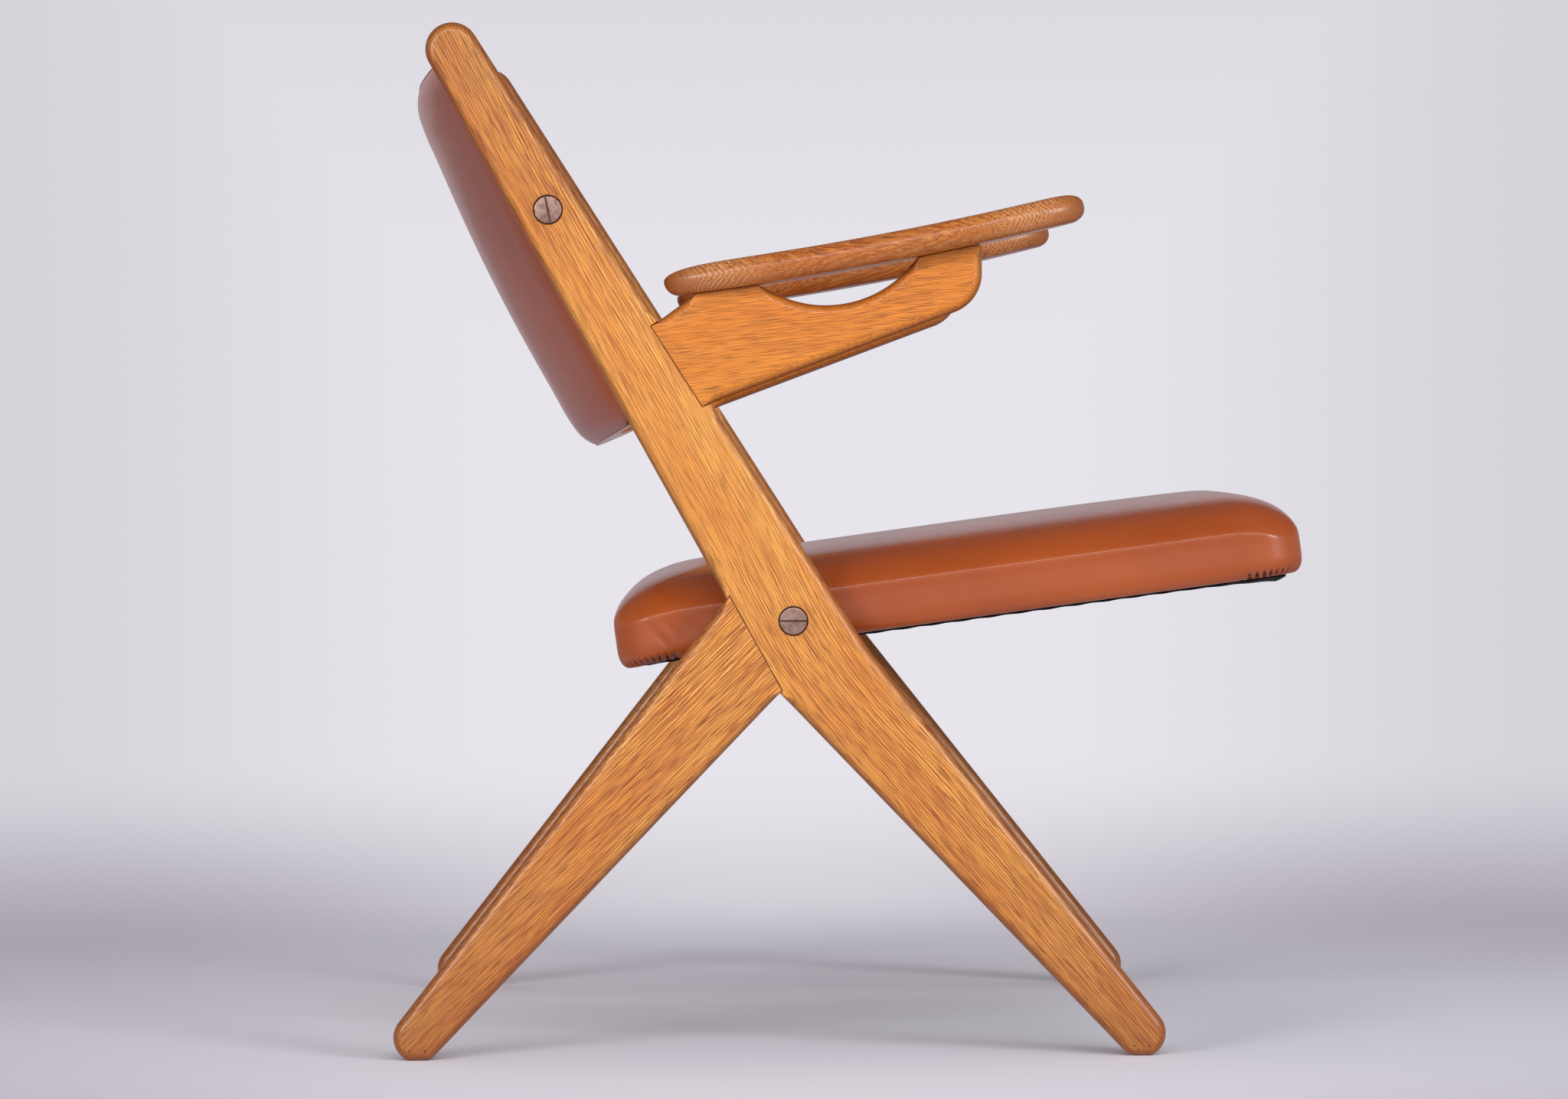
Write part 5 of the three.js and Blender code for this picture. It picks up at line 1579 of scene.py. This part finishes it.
def dust_cloth(name):
    """The seat's plan drawn in, sagging as (1 - u^2)(1 - v^2), slack at its ends and puckered between
    tacks by a cosine along its rim."""
    x, y = round_corners(cloth_half[0] * cloth_u, cloth_half[1] * cloth_v, *cloth_half,
                         SEAT_CORNER - CLOTH_INSET)
    sag = CLOTH_SAG * (1 - cloth_u ** 2) * (1 - cloth_v ** 2)
    rim = np.maximum(np.abs(cloth_u), np.abs(cloth_v)) ** PUCKER_POWER
    along = np.where(np.abs(cloth_u) > np.abs(cloth_v), y, x)
    pucker = PUCKER * rim * (1 + np.cos(2 * np.pi * along / PUCKER_SPACING)) / 2
    upper = SEAT_UNDERSIDE - CLOTH_DROP - sag - pucker - cloth_bellies()
    return thin_sheet(name, np.stack([seat_middle + x, y, upper], axis=-1), CLOTH_THICKNESS)


def weave(tree, place, warp, weft):
    """Crossing threads: the sine along X times the sine along Y, each at its radians to a metre."""
    axes = parts(tree, place)
    over = reckon(tree, "SINE", times(tree, axes["X"], warp))
    return times(tree, over, reckon(tree, "SINE", times(tree, axes["Y"], weft)))


def cloth_finish():
    """Matt black threads with a little pale lint."""
    finish, tree = new_finish("black cloth")
    place = shade(tree, "TexCoord", output="Object")
    threads = weave(tree, place, CLOTH_THREADS, CLOTH_THREADS)
    tone = blend_colours(tree, ease(tree, noise(tree, place, 90, 4.0), 0.4, 0.75), CLOTH_BLACK, CLOTH_LINT)
    bump = shade(tree, "Bump", {"Height": threads, "Distance": 0.0003, "Strength": 0.6})
    return finished(finish, {"Base Color": tone, "Roughness": 0.9, "Normal": bump})


dust_sheet = dust_cloth("seat_dust_cloth")
tilt_into_place(dust_sheet, seat_pivot, SEAT_TILT)
dress(dust_sheet, "frame", "black_cloth", cloth_finish(), "seat_dust_cover")
print("dust cloth cut to", [round(2000 * h) for h in cloth_half], "mm")

# %% [markdown]
# ## The backrest
#
# The backrest is a bent plywood shell, padded on both faces and covered with two hides that meet in a
# seam near its rear edge. It is bowed rearwards across the chair, so it cups the sitter, and both faces
# are gently crowned. Each face is a grid of shares over the rectangle: its distance from the bowed
# middle surface is the edge's, plus a rounded slope and a crown.

# %% Backrest form
BACK_RAKE = math.radians(26.2)
BACK_REACH = {"above": 0.142, "below": 0.171}  # from the back bolt
BACK_CORNER = 0.038
BACK_EDGE = 0.010
BACK_SETBACK = 0.002
BACK_HOLLOW = 0.0425
BACK_SEAM = -0.009
SEAM_GAP = 0.0003
SEAM_DRAW = 0.0016  # how far the hides dip into the seam
SEAM_INSIDE = 0.012  # the hides' edges turned in behind the seam
SEAM_STEPS = 6
BACK_FULLNESS = 3
BACK_FACES = {
    "front": {"out": 1, "rise": 0.006, "width": 0.035, "crown": 0.013},
    "rear": {"out": -1, "rise": 0.007, "width": 0.025, "crown": 0.0125},
}

back_half = (BACK_REACH["above"] + BACK_REACH["below"]) / 2
back_middle = (BACK_REACH["above"] - BACK_REACH["below"]) / 2
back_u, back_v = np.meshgrid(shares(PAD_SIDE), shares(back_half), indexing="ij")


def bowed(y):
    """Middle surface of the backrest, bowed rearwards as a parabola across the chair."""
    return -BACK_SETBACK - BACK_HOLLOW * (1 - (y / PAD_SIDE) ** 2)


def back_level(drawn_in, offset):
    """Points over the backrest's plan, drawn in all round, at an offset from its middle surface."""
    half_y, half_z = PAD_SIDE - drawn_in, back_half - drawn_in
    y, z = round_corners(half_y * back_u, half_z * back_v, half_y, half_z, BACK_CORNER)
    return np.stack([bowed(y) + offset, y, back_middle + z], axis=-1)


def slope(distance, width):
    """Rounded slope from 0 at the rim to 1 at its full width: 1 - (1 - d/w)^fullness."""
    return 1 - (1 - np.clip(distance / width, 0, 1)) ** BACK_FULLNESS


def back_face(out, rise, width, crown):
    """Face of the backrest: its edge, plus a rounded slope in from all sides and a crown."""
    roll = slope(PAD_SIDE * (1 - np.abs(back_u)), width) * slope(back_half * (1 - np.abs(back_v)), width)
    crowned = crown * (1 - back_u ** 2) * (1 - back_v ** 2)
    return back_level(0, out * (BACK_EDGE + rise * roll + crowned))


def back_wall(start, end):
    """Rings from a face's rim to the seam, dipping inwards just before it as a quarter circle."""
    dip = np.linspace(0, np.pi / 2, SEAM_STEPS)
    bend = SEAM_DRAW * np.sign(end - start)
    straight = np.linspace(start, end - bend, SEAM_STEPS + 1)[1:-1]
    offset = np.concatenate([straight, end - bend * (1 - np.sin(dip))])
    drawn_in = np.concatenate([0 * straight, SEAM_DRAW * (1 - np.cos(dip))])
    return np.stack([rim_of(back_level(d, o)) for d, o in zip(drawn_in, offset)])


print("backrest", round(2000 * back_half), "mm high")

# %% Backrest filled and in place
BACK_SWELL = 0.004
back_pivot = middle_of("right_back_bolt")
for face_name, face in BACK_FACES.items():
    seam = BACK_SEAM + face["out"] * SEAM_GAP / 2
    wall = back_wall(face["out"] * BACK_EDGE, seam)
    pad = pad_surface(f"back_{face_name}_pad", back_face(**face), wall, back_level(SEAM_INSIDE, seam))
    x, y, z = points_of(pad).T
    stands = face["out"] * (x - bowed(y)) - BACK_EDGE
    free = freedom(y, z - back_middle, PAD_SIDE, back_half) * (stands > 0)
    print(f"{face_name} pad swelled by {1000 * swell(pad, free, BACK_SWELL):.1f} mm")
    smoothed(pad)
    tilt_into_place(pad, back_pivot, BACK_RAKE)
    dress(pad, "backrest", "leather", leather, f"back_{face_name}_cover", f"back_{face_name}_foam")
    print(face_name, "pad", len(pad.data.polygons), "faces")

# %% [markdown]
# ## The hidden pieces
#
# Inside the pads are a beech frame, webbing, a plywood shell and steel fastenings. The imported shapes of
# the stiff ones are right, so they stay, and only get finishes: pale straight-grained beech, plywood
# with thin layers on its edges and zinc-plated steel. The straps are cloth, so they are made again: each
# is a woven strip across the seat that sags between the rails as a parabola.

# %% Finishes of the hidden pieces
BEECH = {"pale": colour(222, 190, 148), "dark": colour(194, 154, 112), "scales": (260, 30, 420)}
PLYWOOD = {"pale": colour(214, 178, 130), "dark": colour(170, 128, 84), "scales": (900, 40, 60)}
STEEL_GREY = colour(150, 152, 156)
STEEL_BRIGHT = colour(196, 197, 198)


def fibre_finish(name, roughness, pale, dark, scales):
    """Pale wood: fine fibres along one axis, from a noise that is squeezed across it."""
    finish, tree = new_finish(name)
    place = shade(tree, "TexCoord", output="Object")
    fibre = drawn_out(tree, place, scales, 3.0)
    tone = blend_colours(tree, ease(tree, fibre, 0.35, 0.7), pale, dark)
    cloudy = blend_colours(tree, ease(tree, noise(tree, place, 14), 0.4, 0.8, 0.0, 0.4), tone, dark)
    bump = shade(tree, "Bump", {"Height": fibre, "Distance": 0.0002, "Strength": 0.4})
    return finished(finish, {"Base Color": cloudy, "Roughness": roughness, "Normal": bump})


def steel_finish():
    """Bright metal with the small spangles of a zinc coat."""
    finish, tree = new_finish("plated steel")
    spangle = noise(tree, shade(tree, "TexCoord", output="Object"), 320, 3.0)
    tone = blend_colours(tree, spangle, STEEL_GREY, STEEL_BRIGHT)
    gloss = ease(tree, spangle, 0.3, 0.7, 0.28, 0.45)
    return finished(finish, {"Base Color": tone, "Roughness": gloss, "Metallic": 1.0})


hidden_finishes = {
    "beech": fibre_finish("straight beech", 0.6, **BEECH),
    "plywood": fibre_finish("bent plywood", 0.65, **PLYWOOD),
    "steel": steel_finish(),
}
HIDDEN = {
    "beech": ("rail", "corner_block", "stile", "dowel"),
    "plywood": ("panel",),
    "steel": ("tnut", "insert", "pin"),
}
for finish_name, words in HIDDEN.items():
    found = [node for node in nodes if any(word in node for word in words)]
    for node in found:
        nodes[node].data.materials.clear()
        nodes[node].data.materials.append(hidden_finishes[finish_name])
    print(finish_name, "on", len(found), "nodes")

# %% Seat straps
STRAP_HALF = 0.026
STRAP_THICKNESS = 0.0016
STRAP_SAG = 0.0012
STRAP_CELLS = (9, 61)
STRAP_DARK = colour(110, 92, 66)
STRAP_PALE = colour(158, 138, 104)
STRAP_THREADS = (2600, 2100)  # radians to a metre, along and across the chair


def strap(name, node):
    """Strip over shares u and v, with a height that falls by the sag times 1 - v^2."""
    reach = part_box(node)[1].y
    u, v = np.meshgrid(*[np.linspace(-1, 1, count) for count in STRAP_CELLS], indexing="ij")
    height = STRAP_THICKNESS / 2 - STRAP_SAG * (1 - v * v)
    piece = thin_sheet(name, np.stack([STRAP_HALF * u, reach * v, height], axis=-1), STRAP_THICKNESS)
    tilt_into_place(piece, middle_of(node), SEAT_TILT)
    return piece


def webbing_finish():
    """Coarse woven threads, dark where they dip."""
    finish, tree = new_finish("woven webbing")
    threads = weave(tree, shade(tree, "TexCoord", output="Object"), *STRAP_THREADS)
    tone = blend_colours(tree, ease(tree, threads, -0.7, 0.7), STRAP_DARK, STRAP_PALE)
    bump = shade(tree, "Bump", {"Height": threads, "Distance": 0.0005, "Strength": 0.7})
    return finished(finish, {"Base Color": tone, "Roughness": 0.85, "Normal": bump})


webbing = webbing_finish()
strap_nodes = sorted(node for node in nodes if "strap" in node)
for node in strap_nodes:
    dress(strap(node + "_woven", node), "frame", "webbing", webbing, node)
